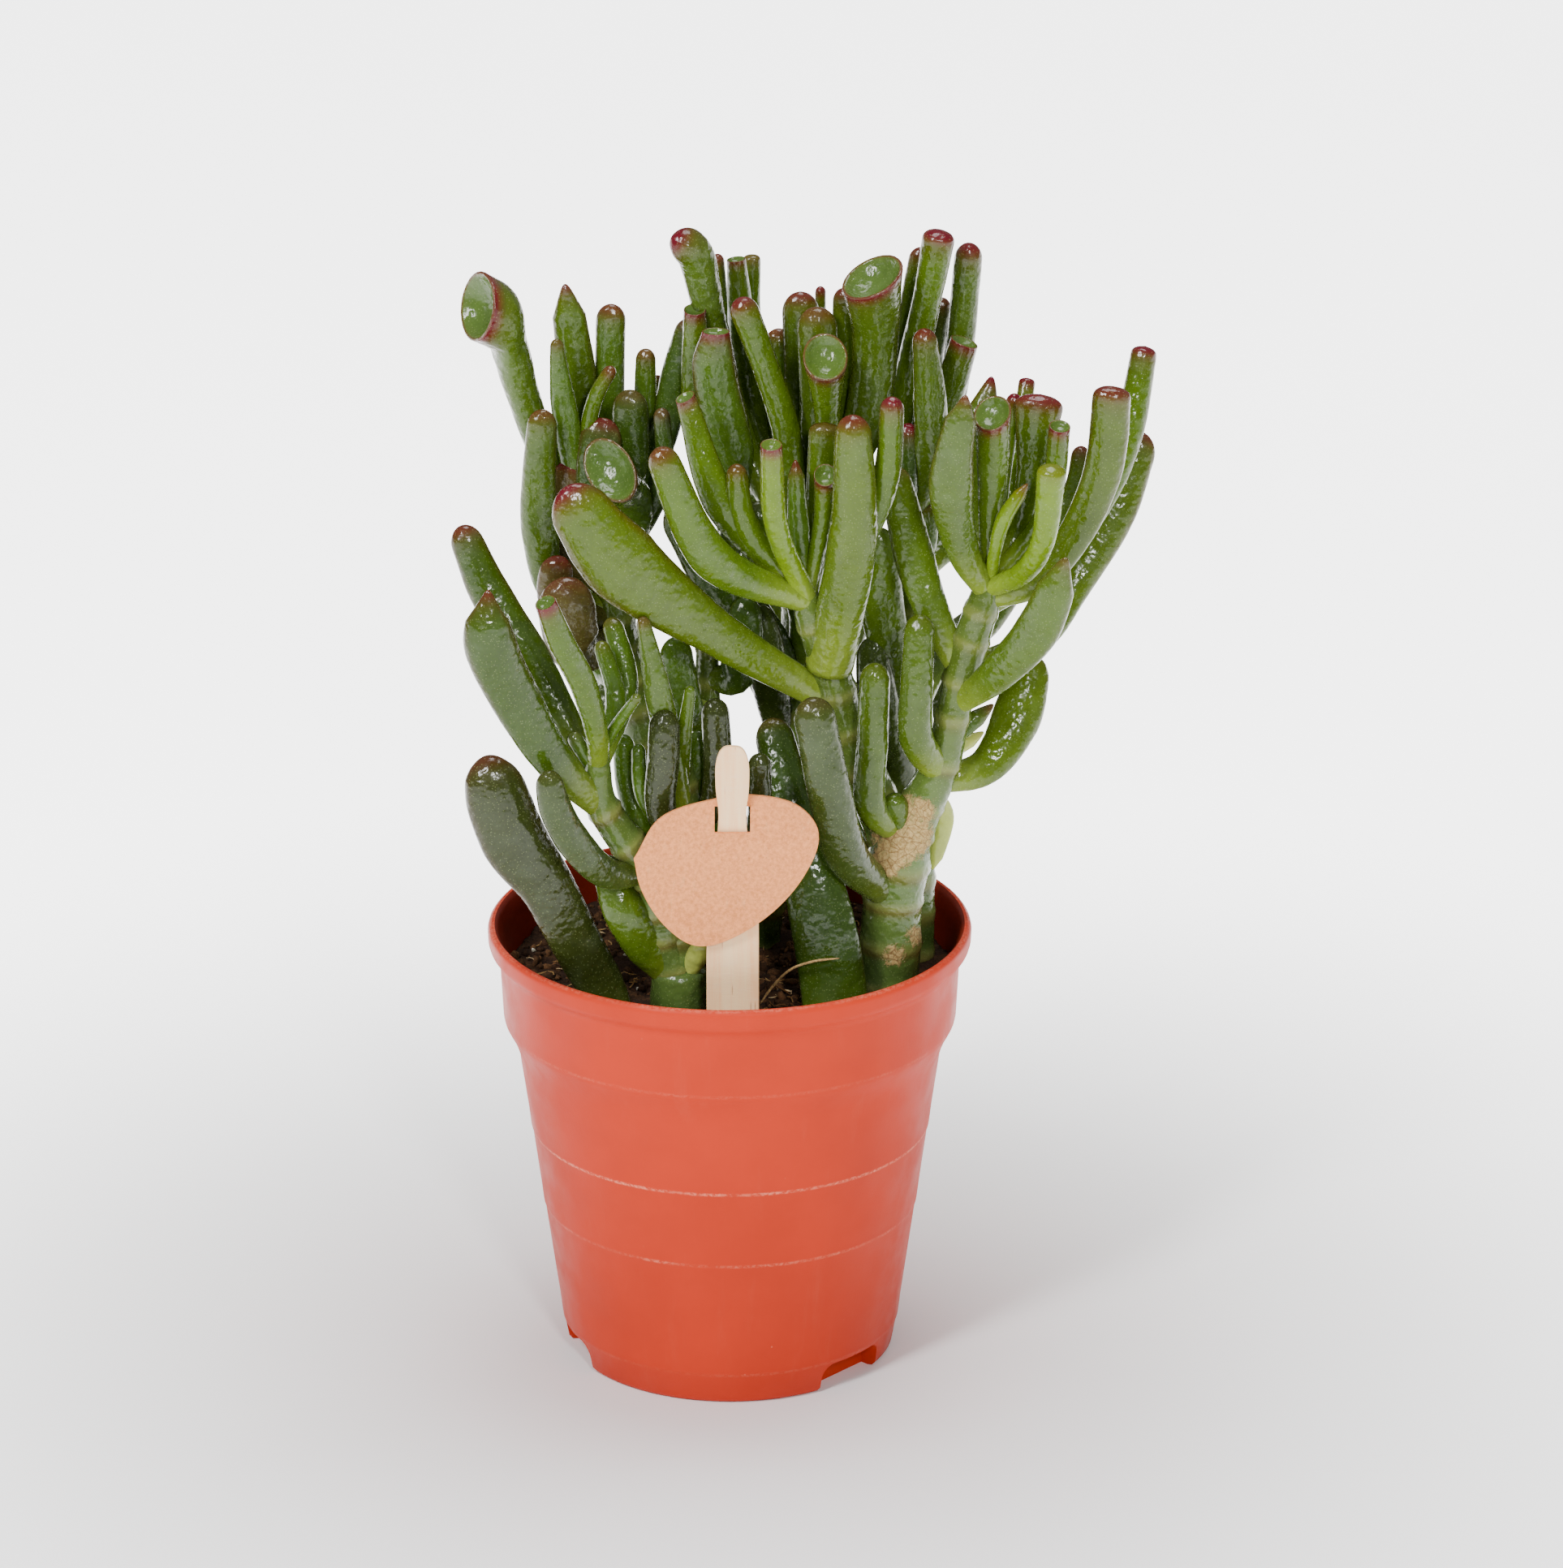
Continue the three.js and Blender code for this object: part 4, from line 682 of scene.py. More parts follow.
def leaf_colours(tone, red, shares, length, angles, flatness, cup, seed, points):
    """Tints of a leaf's rings: pale at the base, its tone along the blade, red at tip and margin."""
    rng = random.Random(seed)
    shade = 1 + rng.uniform(-TONE_SPREAD, TONE_SPREAD)
    body = linear(TONES[tone]) * shade
    tints = np.broadcast_to(body, (len(shares), len(angles), 3)).copy()
    patches = lumps(points.reshape(-1, 3), PATCH_SIZE, seed).reshape(tints.shape[:2])
    tints *= (1 + TONE_SPREAD * patches)[..., None]
    pale = PALE_AMOUNT * (1 - smooth(0.0, PALE_TO, shares))[:, None]
    if tone in DARK_TONES:
        pale *= DARK_PALE_SHARE
    tints = blend(tints, linear(PALE_BASE), pale)
    edge = smooth(*MARGIN_EDGE, np.abs(np.cos(angles)))
    edge_reach = smooth(*MARGIN_ALONG, shares)[:, None]
    margin = (0.12 + 0.5 * red) * edge * edge_reach * (1 if flatness < MARGIN_FLATNESS else 0.5)
    tints = blend(tints, linear(MARGIN_BROWN), margin)
    from_tip = ((1 - shares) * length)[:, None]
    reach = CUP_BLUSH_REACH if cup else BLUSH_REACH
    blush = min(1, 1.3 * red) * (1 - smooth(BLUSH_FROM, reach + 1.2 * patches, from_tip))
    flush = (0.3 if cup else 0.6) * red * (1 - smooth(1, FLUSH_REACH + 3 * patches, from_tip)) ** 1.4
    tints = blend(tints, linear(TIP_BROWN), np.clip(flush, 0, 1))
    tints = blend(tints, linear(TIP_RED), np.clip(blush, 0, 1))
    return tints


def blend(colours, other, amount):
    """Colours moved towards another by an amount from 0 to 1."""
    return colours + (other - colours) * np.asarray(amount)[..., None]


def dished(rings, tints, way, cup, tone, red):
    """Rings and tints of a leaf with those of the hollow at its end, and the hollow's middle."""
    centre = rings[-1].mean(0)
    spokes = rings[-1] - centre
    lift = min(cup)
    hollow = [centre + spokes * size + way * lift * rise for size, rise in DISH]
    lip_red = 0.45 + 0.5 * red
    tints[-1] = blend(tints[-1], linear(TIP_RED), lip_red)
    base = blend(linear(TONES[tone]), linear(CUP_INSIDE), CUP_PALE)
    inner = []
    for size, _ in DISH:
        redness = float(smooth(*LIP_SIZES, size)) * lip_red
        # Rings nearer the middle of the hollow are painted darker: painted shade inside the cup
        inner.append([blend(base * (0.85 + 0.15 * size), linear(TIP_RED), redness)] * LEAF_SIDES)
    middle = centre - way * lift * CUP_DEPTH
    return np.concatenate([rings, hollow]), np.concatenate([tints, inner]), middle


def add_leaf(flesh, curve, widths, flatness, tip, tone, red, way, cup, spans, seed):
    """A leaf along a curve. A cup flares over the last of the given number of spans."""
    shares, sizes = leaf_rows(curve, tip, widths[-1])
    centres = curve.at(shares)
    alongs = curve.along(shares)
    wide = leaf_widths(curve, widths, shares)
    rounder = min(1, flatness + BASE_ROUNDER) - flatness
    flat = flatness + rounder * (1 - smooth(0, BASE_REACH, shares))
    deep = wide * flat * sizes
    wide = wide * sizes
    if cup:
        flare_from = (spans - 1) / spans
        flare = np.clip((shares - flare_from) / (1 - flare_from), 0, 1) ** CUP_FLARE
        wide = wide + (cup[0] - wide[-1]) * flare
        deep = deep + (cup[1] - deep[-1]) * flare
    angles = turns(LEAF_SIDES)
    rings = np.zeros((len(shares), LEAF_SIDES, 3))
    side = None
    for row, (centre, along) in enumerate(zip(centres, alongs)):
        side, front = cross_axes(centre, along, side)
        if way is not None:
            turn = smooth(1 - TURN_SHARE, 1, shares[row])
            along = unit(along + (way - along) * turn)
            side = unit(side - along * (side @ along))
            front = np.cross(side, along)
        rings[row] = oval(centre, side, front, angles, wide[row] / 2, deep[row] / 2)
    rings = swollen(rings, centres, LEAF_SWELL, seed)
    tints = leaf_colours(tone, red, shares, curve.length, angles, flatness, cup, seed, rings)
    end = curve.at(1)
    if cup:
        rings, tints, end = dished(rings, tints, way, cup, tone, red)
    elif tip == "flat":
        end = end + alongs[-1] * FLAT_BULGE * widths[-1]
    flat_tints = capped(tints[0].mean(0), tints.reshape(-1, 3), tints[-1].mean(0))
    corks = capped(0, spotted(rings, LEAF_SCARS, 0).ravel(), 0)
    flesh.add_rings(rings, curve.at(0), end, flat_tints, corks)


# Small brown scars on leaves, and corky brown patches on stems: (across, up, depth, reach)
LEAF_SCARS = [
    (21, -2.2, -30.4, 1.9), (31.4, 6.4, -28, 1.7), (95.4, 106.4, 2, 1.8), (-44, 2, -31, 1.6),
    (-9.6, -3, -36, 1.2),
]
CORK_SPOTS = [
    (41, 19, -20, 9), (37, 15, -20, 7), (47, 20, -19, 8), (48, 27, -17, 5.5), (42, 26, -19, 6),
    (46, -4, -16, 5), (41, -8, -19, 3.6), (-34, 28, -34, 2),
]


def spotted(rings, spots, uneven):
    """How corky each point of the rings is, from 0 to 1, by the nearest spot."""
    amount = np.zeros(rings.shape[:2])
    for across, up, depth, reach in spots:
        gap = np.linalg.norm(rings - placed((across, up, depth)), axis=-1)
        amount = np.maximum(amount, 1 - smooth(0.45 * reach, reach, gap + uneven))
    return amount


def leaf_on_stem(flesh, knots, seed, place, points, widths, flatness, tone, red,
                 tip="round", way=None, cup=None):
    """A leaf grown out of the middle of its stem."""
    base = Line([placed(knot) for knot in knots]).at_index(place)
    curve = Line([base, *[placed(point) for point in points]])
    turned = None if way is None else facing(way)
    spans = max(3, len(points))
    add_leaf(flesh, curve, widths, flatness, tip, tone, red, turned, cup, spans, seed)


# Stems

# Rings left by fallen leaves: how far apart they stand, by which share that varies, how far they
# keep from the foot and the top, how far they bulge, and how wide they are
SCAR_SPACING = 9.5
SCAR_SPREAD = (0.75, 1.3)
SCAR_FIRST = 4
SCAR_BELOW_TOP = 8
SCAR_BULGE = 0.5
SCAR_WIDTH = 1.1
# Heights above the soil between which a stem turns from dark foot to its colour, from that to
# young green, and from brown scars to clean ones
FOOT_HEIGHTS = (-2, 16)
YOUNG_HEIGHTS = (20, 95)
OLD_SCAR_HEIGHTS = (30, 100)
STEM_PATCH = 6


def add_stem(flesh, knots, seed):
    """A stem through its knots, ringed by scars, darker at the foot and greener higher up."""
    rng = random.Random(seed)
    curve = Line([placed(knot) for knot in knots])
    rows = max(8, round(curve.length / STEM_STEP))
    shares = np.linspace(0, 1, rows)
    centres = curve.at(shares)
    alongs = curve.along(shares)
    knot_shares = curve.share_of_point(len(knots))
    radii = np.interp(shares, knot_shares, [knot[3] for knot in knots])
    kernel = np.array([1, 2, 3, 2, 1]) / 9
    radii = np.convolve(np.pad(radii, 2, "edge"), kernel, "valid")
    travel = shares * curve.length
    scars = np.zeros(rows)
    scar_at = rng.uniform(SCAR_FIRST, SCAR_SPACING)
    while scar_at < curve.length - SCAR_BELOW_TOP:
        scars = np.maximum(scars, np.exp(-((travel - scar_at) / SCAR_WIDTH) ** 2))
        scar_at += SCAR_SPACING * rng.uniform(*SCAR_SPREAD)
    rings = tube(centres, alongs, radii + SCAR_BULGE * scars, STEM_SIDES)
    rings = swollen(rings, centres, STEM_SWELL, seed)
    height = rings[..., 2] - SOIL_LEVEL
    tints = np.broadcast_to(linear(STEM_OLD), rings.shape).copy()
    tints = blend(tints, linear(STEM_YOUNG), smooth(*YOUNG_HEIGHTS, height) * 0.85)
    patches = lumps(rings.reshape(-1, 3), STEM_PATCH, seed + 0.8).reshape(rows, STEM_SIDES)
    tints = blend(tints, linear(STEM_FOOT), (1 - smooth(*FOOT_HEIGHTS, height + 5 * patches)) * 0.9)
    tints *= (1 + 0.18 * patches)[..., None]
    below = np.roll(scars, -1) * (1 - smooth(*OLD_SCAR_HEIGHTS, height.mean(1)))
    tints = blend(tints, linear(SCAR_BROWN), below[:, None] * 0.4)
    tints = blend(tints, linear(SCAR_PALE), scars[:, None] * 0.3)
    corks = spotted(rings, CORK_SPOTS, 2.4 * patches)
    flat_tints = capped(tints[0, 0], tints.reshape(-1, 3), tints[-1].mean(0))
    top = curve.at(1) + alongs[-1] * knots[-1][3] / 2
    flesh.add_rings(rings, curve.at(0), top, flat_tints, capped(0, corks.ravel(), 0))


def leafy_piece(name, node, stems, leaves, seed):
    """Stems with all their leaves, as one piece."""
    flesh = Flesh()
    for number, knots in enumerate(stems.values()):
        add_stem(flesh, knots, seed + number)
    rows = [(stems[stem], row) for stem, leaves_there in leaves for row in leaves_there]
    for number, (knots, row) in enumerate(rows):
        leaf_on_stem(flesh, knots, seed + 10 + number, *row)
    piece = flesh.build(name)
    finish_piece(piece, node, leaf_material)


def rooted_leaf(name, node, leaf, seed):
    """A single leaf that grows out of the soil."""
    flesh = Flesh()
    curve = Line([placed(point) for point in leaf["points"]])
    add_leaf(flesh, curve, leaf["widths"], leaf["flatness"], "round", leaf["tone"], leaf["red"],
             None, None, len(leaf["points"]), seed)
    piece = flesh.build(name)
    finish_piece(piece, node, leaf_material)


def finish_piece(piece, node, material):
    """A finished piece on the root body, in place of a node of the part if one is named."""
    piece.data.materials.append(material)
    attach(piece, "root")
    if node:
        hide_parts(node)


# Materials

class Shading:
    """A material under construction: its nodes, its principled shader and its coordinates."""

    def __init__(self, name, roughness=0.5, specular=0.5):
        self.material = bpy.data.materials.new(name)
        self.material.use_nodes = True
        self.tree = self.material.node_tree
        self.shader = self.tree.nodes["Principled BSDF"]
        self.shader.inputs["Roughness"].default_value = roughness
        self.shader.inputs["Specular IOR Level"].default_value = specular
        self.place = self.node("ShaderNodeTexCoord", {}).outputs["Object"]

    def node(self, kind, inputs, **settings):
        """A new node, with each input set to a value or joined to another node's output."""
        made = self.tree.nodes.new(kind)
        for key, value in settings.items():
            setattr(made, key, value)
        for socket, value in inputs.items():
            self.feed(made.inputs[socket], value)
        return made

    def feed(self, socket, value):
        if isinstance(value, bpy.types.NodeSocket):
            self.tree.links.new(value, socket)
        else:
            socket.default_value = value

    def attribute(self, name, output):
        return self.node("ShaderNodeAttribute", {}, attribute_name=name).outputs[output]

    def stretched(self, scale):
        """The coordinates, scaled by its own number along each axis."""
        inputs = {"Vector": self.place, "Scale": scale}
        return self.node("ShaderNodeMapping", inputs).outputs["Vector"]

    def noise(self, scale, detail, roughness=0.55, vector=None):
        """Soft noise from 0 to 1."""
        where = vector or self.place
        inputs = {"Vector": where, "Scale": scale, "Detail": detail, "Roughness": roughness}
        return self.node("ShaderNodeTexNoise", inputs).outputs["Fac"]

    def cells(self, scale, vector=None, feature="F1"):
        """Distances to scattered points, or to the edges between their cells."""
        inputs = {"Vector": vector or self.place, "Scale": scale}
        return self.node("ShaderNodeTexVoronoi", inputs, feature=feature).outputs["Distance"]

    def ramp(self, value, low, high, start=0.0, end=1.0):
        """An even rise from start to end while the value goes from low to high."""
        inputs = {"Value": value, "From Min": low, "From Max": high, "To Min": start, "To Max": end}
        made = self.node("ShaderNodeMapRange", inputs, interpolation_type="SMOOTHSTEP")
        return made.outputs["Result"]

    def math(self, operation, first, second=0.0):
        return self.node("ShaderNodeMath", {0: first, 1: second}, operation=operation).outputs[0]

    def mix(self, amount, first, second, blend_type="MIX"):
        inputs = {0: amount, 6: first, 7: second}
        made = self.node("ShaderNodeMix", inputs, data_type="RGBA", blend_type=blend_type)
        return made.outputs[2]

    def painted(self, colour, paint, cover):
        """The colour under a paint that covers it by an amount from 0 to 1."""
        return self.mix(cover, colour, rgba(paint))

    def shaded(self, colour, amount):
        """The colour times an amount that varies from place to place."""
        grey = self.node("ShaderNodeCombineColor", {0: amount, 1: amount, 2: amount})
        return self.mix(1.0, colour, grey.outputs[0], "MULTIPLY")

    def bump(self, height, depth_mm, strength, under=None):
        """Relief of a height map, on top of the relief under it."""
        inputs = {"Height": height, "Distance": depth_mm * MM, "Strength": strength}
        if under is not None:
            inputs["Normal"] = under
        return self.node("ShaderNodeBump", inputs).outputs["Normal"]

    def axis(self, letter):
        """One of the three coordinates."""
        return self.node("ShaderNodeSeparateXYZ", {0: self.place}).outputs[letter]

    def finish(self, colour, roughness=None, normal=None):
        self.feed(self.shader.inputs["Base Color"], colour)
        if roughness is not None:
            self.feed(self.shader.inputs["Roughness"], roughness)
        if normal is not None:
            self.feed(self.shader.inputs["Normal"], normal)
        return self.material


def rgba(rgb):
    """A colour from 0 to 255 as a shader takes it."""
    return (*(float(part) for part in linear(rgb)), 1.0)


def make_leaf_material():
    """Waxy skin: fine pale speckles, faint mottling and bloom, beaded gloss, corky patches."""
    shading = Shading("leaf_skin", specular=0.4)
    shading.shader.inputs["Subsurface Weight"].default_value = 0.06
    shading.shader.inputs["Subsurface Radius"].default_value = (1.0, 1.6, 0.5)
    shading.shader.inputs["Subsurface Scale"].default_value = 1.5 * MM
    tint = shading.attribute("tint", "Color")
    cork = shading.attribute("cork", "Fac")
    mottle = shading.ramp(shading.noise(330, 4), 0.3, 0.7, 0.93, 1.07)
    colour = shading.shaded(tint, mottle)
    bloom = shading.ramp(shading.noise(120, 3), 0.5, 0.75, 0.0, 0.04)
    colour = shading.painted(colour, BLOOM, bloom)
    dots = shading.ramp(shading.cells(1500), 0.12, 0.3, 0.13, 0.0)
    colour = shading.painted(colour, DOT_PALE, dots)
    grain = shading.noise(1500, 5, 0.7)
    cork_colour = shading.mix(shading.ramp(grain, 0.35, 0.65), rgba(CORK_DARK), rgba(CORK_LIGHT))
    cracks = shading.ramp(shading.cells(460, None, "DISTANCE_TO_EDGE"), 0.0, 0.07, 0.75, 0.0)
    cork_colour = shading.painted(cork_colour, CORK_CRACK, cracks)
    uneven = shading.ramp(shading.noise(700, 4, 0.7), 0.3, 0.7, -0.35, 0.35)
    ragged = shading.ramp(shading.math("ADD", cork, uneven), 0.25, 0.9)
    cork_cover = shading.math("MULTIPLY", ragged, shading.ramp(cork, 0.02, 0.2))
    colour = shading.mix(cork_cover, colour, cork_colour)
    gloss = shading.ramp(shading.noise(420, 3), 0.3, 0.7, 0.12, 0.24)
    roughness = shading.math("MAXIMUM", gloss, shading.math("MULTIPLY", cork_cover, 0.85))
    dents = shading.bump(shading.noise(230, 1, 0.4), 0.3, 1.2)
    beads = shading.bump(shading.noise(560, 1, 0.4), 0.4, 0.8, dents)
    pits = shading.bump(shading.noise(1500, 3), 0.03, 0.8, beads)
    bark = shading.bump(shading.math("MULTIPLY", grain, cork_cover), 0.4, 0.9, pits)
    return shading.finish(colour, roughness, bark)


def make_pot_material():
    """Moulded terracotta plastic: pale scuff marks where stacked pots have rubbed the rings, with a
    painted highlight over them along the top of the rim, and a darker inside face that is partly painted
    shade.
    """
    shading = Shading("pot_plastic", roughness=0.42, specular=0.1)
    body = shading.mix(
        shading.ramp(shading.noise(34, 4), 0.3, 0.7, 0.0, 0.5),
        rgba(POT_ORANGE), rgba([part * 0.93 for part in POT_ORANGE]),
    )
    height = shading.axis("Z")
    scuffs_and_sheen = None
    # Pale lines at the rings: scuff marks, and at the top of the rim a painted highlight as well
    for ring, amount in SCUFF_AND_SHEEN_RINGS:
        away = shading.math("ABSOLUTE", shading.math("SUBTRACT", height, ring * MM))
        line = shading.ramp(away, 0.1 * MM, 0.7 * MM, amount, 0.0)
        scuffs_and_sheen = line if scuffs_and_sheen is None else shading.math("MAXIMUM", scuffs_and_sheen, line)
    broken = shading.ramp(shading.noise(60, 4, 0.6), 0.36, 0.66, 0.25, 1.0)
    fine = shading.ramp(shading.noise(1100, 4, 0.7), 0.4, 0.6, 0.1, 1.0)
    worn_and_sheen = shading.math("MULTIPLY", shading.math("MULTIPLY", scuffs_and_sheen, broken), fine)
    specks = shading.math(
        "MULTIPLY", shading.ramp(shading.cells(190), 0.035, 0.06, 1.0, 0.0),
        shading.ramp(shading.noise(60, 2), 0.55, 0.7, 0.0, 0.5),
    )
    drawn = shading.noise(26, 5, 0.7, shading.stretched((6, 6, 0.6)))
    streaks = shading.ramp(drawn, 0.55, 0.8, 0.0, 0.03)
    pale = shading.math("MAXIMUM", shading.math("MAXIMUM", worn_and_sheen, specks), streaks)
    colour = shading.painted(body, POT_SCUFF_AND_SHEEN, pale)
    # The inside face of the wall is painted darker: partly the pot's own colour, partly painted shade
    # inside the pot
    level = {0: shading.place, 1: (1, 1, 0)}
    spread = shading.node("ShaderNodeVectorMath", level, operation="MULTIPLY")
    normal = shading.node("ShaderNodeNewGeometry", {}).outputs["Normal"]
    outward = {0: normal, 1: spread.outputs["Vector"]}
    turned = shading.node("ShaderNodeVectorMath", outward, operation="DOT_PRODUCT")
    inside_shade = shading.ramp(turned.outputs["Value"], -0.02, -0.01, 0.85, 0.0)
    colour = shading.painted(colour, POT_INSIDE_SHADE, inside_shade)
    roughness = shading.ramp(shading.noise(90, 4), 0.3, 0.7, 0.34, 0.5)
    skin = shading.bump(shading.noise(1800, 3), 0.05, 0.5)
    waves = shading.bump(shading.noise(28, 2), 0.5, 0.35, skin)
    return shading.finish(colour, roughness, waves)


def make_soil_material():
    """Peat: each crumb's own tint, broken by fine dark grain."""
    shading = Shading("peat", roughness=0.95, specular=0.2)
    tint = shading.attribute("tint", "Color")
    grain = shading.ramp(shading.noise(1400, 6, 0.75), 0.3, 0.7, 0.45, 1.35)
    colour = shading.shaded(tint, grain)
    normal = shading.bump(shading.noise(1100, 6, 0.7), 0.8, 0.9)
    return shading.finish(colour, None, normal)


def make_wood_material():
    """Pale planed wood: grain along the stick, fine cross flecks and a few darker pores."""
    shading = Shading("pale_wood", roughness=0.7, specular=0.25)
    grain = shading.noise(300, 5, 0.65, shading.stretched((1, 1, 0.06)))
    colour = shading.mix(shading.ramp(grain, 0.3, 0.72), rgba(WOOD_LIGHT), rgba(WOOD_DARK))
    flecks = shading.noise(900, 3, 0.6, shading.stretched((0.35, 1, 1.6)))
    colour = shading.painted(colour, WOOD_FLECK, shading.ramp(flecks, 0.52, 0.7, 0.0, 0.4))
    pores = shading.cells(620, shading.stretched((1, 1, 0.12)))
    colour = shading.painted(colour, WOOD_PORE, shading.ramp(pores, 0.05, 0.16, 0.45, 0.0))
    normal = shading.bump(shading.math("ADD", grain, flecks), 0.12, 0.6)
    return shading.finish(colour, None, normal)


def make_card_material():
    """Brown card: pressed fibres, light and dark specks."""
    shading = Shading("kraft_card", roughness=0.88, specular=0.2)
    pulp = shading.noise(1100, 5, 0.7)
    colour = shading.mix(shading.ramp(pulp, 0.3, 0.72), rgba(KRAFT_LIGHT), rgba(KRAFT_DARK))
    fibres = shading.noise(700, 4, 0.7, shading.stretched((1, 1, 0.25)))
    colour = shading.painted(colour, KRAFT_FIBRE, shading.ramp(fibres, 0.58, 0.7, 0.0, 0.2))
    specks = shading.ramp(shading.cells(900), 0.07, 0.16, 0.3, 0.0)
    colour = shading.painted(colour, KRAFT_SPECK, specks)
    normal = shading.bump(pulp, 0.1, 0.6)
    return shading.finish(colour, None, normal)


def make_floor_material():
    """A pale floor that glows more with distance from the pot, and less in front of it."""
    shading = Shading("white_floor", roughness=0.9, specular=0.1)
    cloud = shading.ramp(shading.noise(3, 2), 0.3, 0.7, 0.0, 0.3)
    colour = shading.mix(cloud, FLOOR_WHITE, FLOOR_SHADE)
    away = shading.node("ShaderNodeVectorMath", {0: shading.place}, operation="LENGTH")
    glow = shading.ramp(away.outputs["Value"], *FLOOR_GLOW_REACH, 0.0, FLOOR_GLOW)
    share = shading.ramp(shading.axis("Y"), *FLOOR_FRONT_REACH, FLOOR_FRONT_SHARE, 1.0)
    glow = shading.math("MULTIPLY", glow, share)
    shading.feed(shading.shader.inputs["Emission Color"], colour)
    shading.feed(shading.shader.inputs["Emission Strength"], glow)
    return shading.finish(colour)


# Pot

def freed(body, mesh):
    """The mesh, filled from an edited body that isn't needed any more."""
    body.to_mesh(mesh)
    body.free()
    return mesh


def lathe_mesh(name, profile):
    """A closed body turned from (radius, height) pairs that start and end on the axis."""
    body = bmesh.new()
    angles = turns(POT_SIDES)
    first = body.verts.new((0, 0, profile[0][1] * MM))
    last = body.verts.new((0, 0, profile[-1][1] * MM))
    rings = []
    for radius, height in profile[1:-1]:
        ring = [(radius * math.cos(angle), radius * math.sin(angle), height) for angle in angles]
        rings.append([body.verts.new([part * MM for part in point]) for point in ring])
    for index in range(POT_SIDES):
        following = (index + 1) % POT_SIDES
        body.faces.new((first, rings[0][following], rings[0][index]))
        for low, high in zip(rings, rings[1:]):
            body.faces.new((low[index], low[following], high[following], high[index]))
        body.faces.new((last, rings[-1][index], rings[-1][following]))
    return freed(body, bpy.data.meshes.new(name))


def prism_mesh(name, outline, low, high, matrix):
    """A closed prism of an outline in X and Z, from low to high in Y, moved by matrix."""
    count = len(outline)
    points = [(x, y, z) for y in (low, high) for x, z in outline]
    faces = [tuple(range(count)), tuple(reversed(range(count, 2 * count)))]
    for index in range(count):
        following = (index + 1) % count
        faces.append((index, index + count, following + count, following))
    mesh = bpy.data.meshes.new(name)
    mesh.from_pydata([tuple(part * MM for part in matrix @ Vector(point)) for point in points], [], faces)
    body = bmesh.new()
    body.from_mesh(mesh)
    bmesh.ops.recalc_face_normals(body, faces=body.faces)
    return freed(body, mesh)


def cut(mesh, operation, *others):
    """The mesh after a Boolean with each of the other meshes in turn."""
    base = link("base", mesh)
    cutters = []
    for other in others:
        cutter = link("cutter", other)
        cutters.append(cutter)
        modifier = base.modifiers.new("cut", "BOOLEAN")
        modifier.operation = operation
        modifier.solver = "EXACT"
        modifier.object = cutter
    evaluated = base.evaluated_get(bpy.context.evaluated_depsgraph_get())
    made = bpy.data.meshes.new_from_object(evaluated)
    for spare in [base, *cutters]:
        bpy.data.objects.remove(spare)
    return made


def hard_piece(name, mesh, sharp_degrees, node, material, soft_mm=0):
    """A piece with flat faces: edges past an angle stay sharp, or are rounded by soft_mm."""
    mesh.name = name
    mesh.shade_smooth()
    mesh.set_sharp_from_angle(angle=math.radians(sharp_degrees))
    piece = link(name, mesh)
    if soft_mm:
        modifier = piece.modifiers.new("soft_edges", "BEVEL")
        modifier.width = soft_mm * MM
        modifier.segments = 2
        modifier.limit_method = "ANGLE"
        modifier.angle_limit = math.radians(50)
    finish_piece(piece, node, material)


# The wall leans out from the shoulder's radius by this much for each mm of height
SHOULDER_RADIUS = 52.2
SHOULDER_HEIGHT = 77.8
WALL_LEAN = 0.144
# Outline of the wall by each ring: (height from the ring, how far it stands out)
RING_PROFILE = [(-0.5, -0.11), (0, 0.11), (0.8, 0.11), (5, 0)]


def body_radius(height):
    """The wall's outer radius at a height under the shoulder."""
    return SHOULDER_RADIUS + WALL_LEAN * (height - SHOULDER_HEIGHT)


# Outlines of the collar, of the rolled rim and of the inside, as (radius, height)
COLLAR_PROFILE = [
    (52.5, 80), (53.3, 82.6), (54.4, 85.2), (55.5, 87.2), (56.05, 88.3), (56.3, 89.4), (56.4, 91),
    (57.1, 104.4),
]
RIM_PROFILE = [
    (57.5, 105.6), (58.2, 106.5), (59, 107.2), (59.6, 108), (59.9, 109), (60, 111.3), (59.85, 112),
    (59.5, 112.5), (59, POT_HEIGHT),
]


INSIDE_PROFILE = [
    (0, FLOOR), (BASE_RADIUS - 1, FLOOR), (body_radius(8.3) - WALL, 8.3),
    (body_radius(78) - WALL, 78), (52.5, 83.6), (54.3, 87.4), (55.1, 90), (56.3, 108),
    (57.3, 111.4), (57.7, 112.3), (58.3, POT_HEIGHT), (59.4, POT_HEIGHT + 0.001),
    (70, POT_HEIGHT + 0.002), (70, POT_HEIGHT + 6), (0, POT_HEIGHT + 6),
]


def pot_outside():
    """The pot as a full body: foot, rings, collar and rolled rim."""
    profile = [(0, 0), (BASE_RADIUS, 0), (BASE_RADIUS + 1.5, 0.4), (BASE_RADIUS + 2.3, 1.3)]
    for ring in RING_HEIGHTS:
        for rise, step in RING_PROFILE:
            profile.append((body_radius(ring + rise) + step, ring + rise))
    profile += [(body_radius(77), 77), *COLLAR_PROFILE, *RIM_PROFILE]
    profile += [(58.6, POT_HEIGHT + 1), (0, POT_HEIGHT + 1)]
    return lathe_mesh("pot_outside", profile)


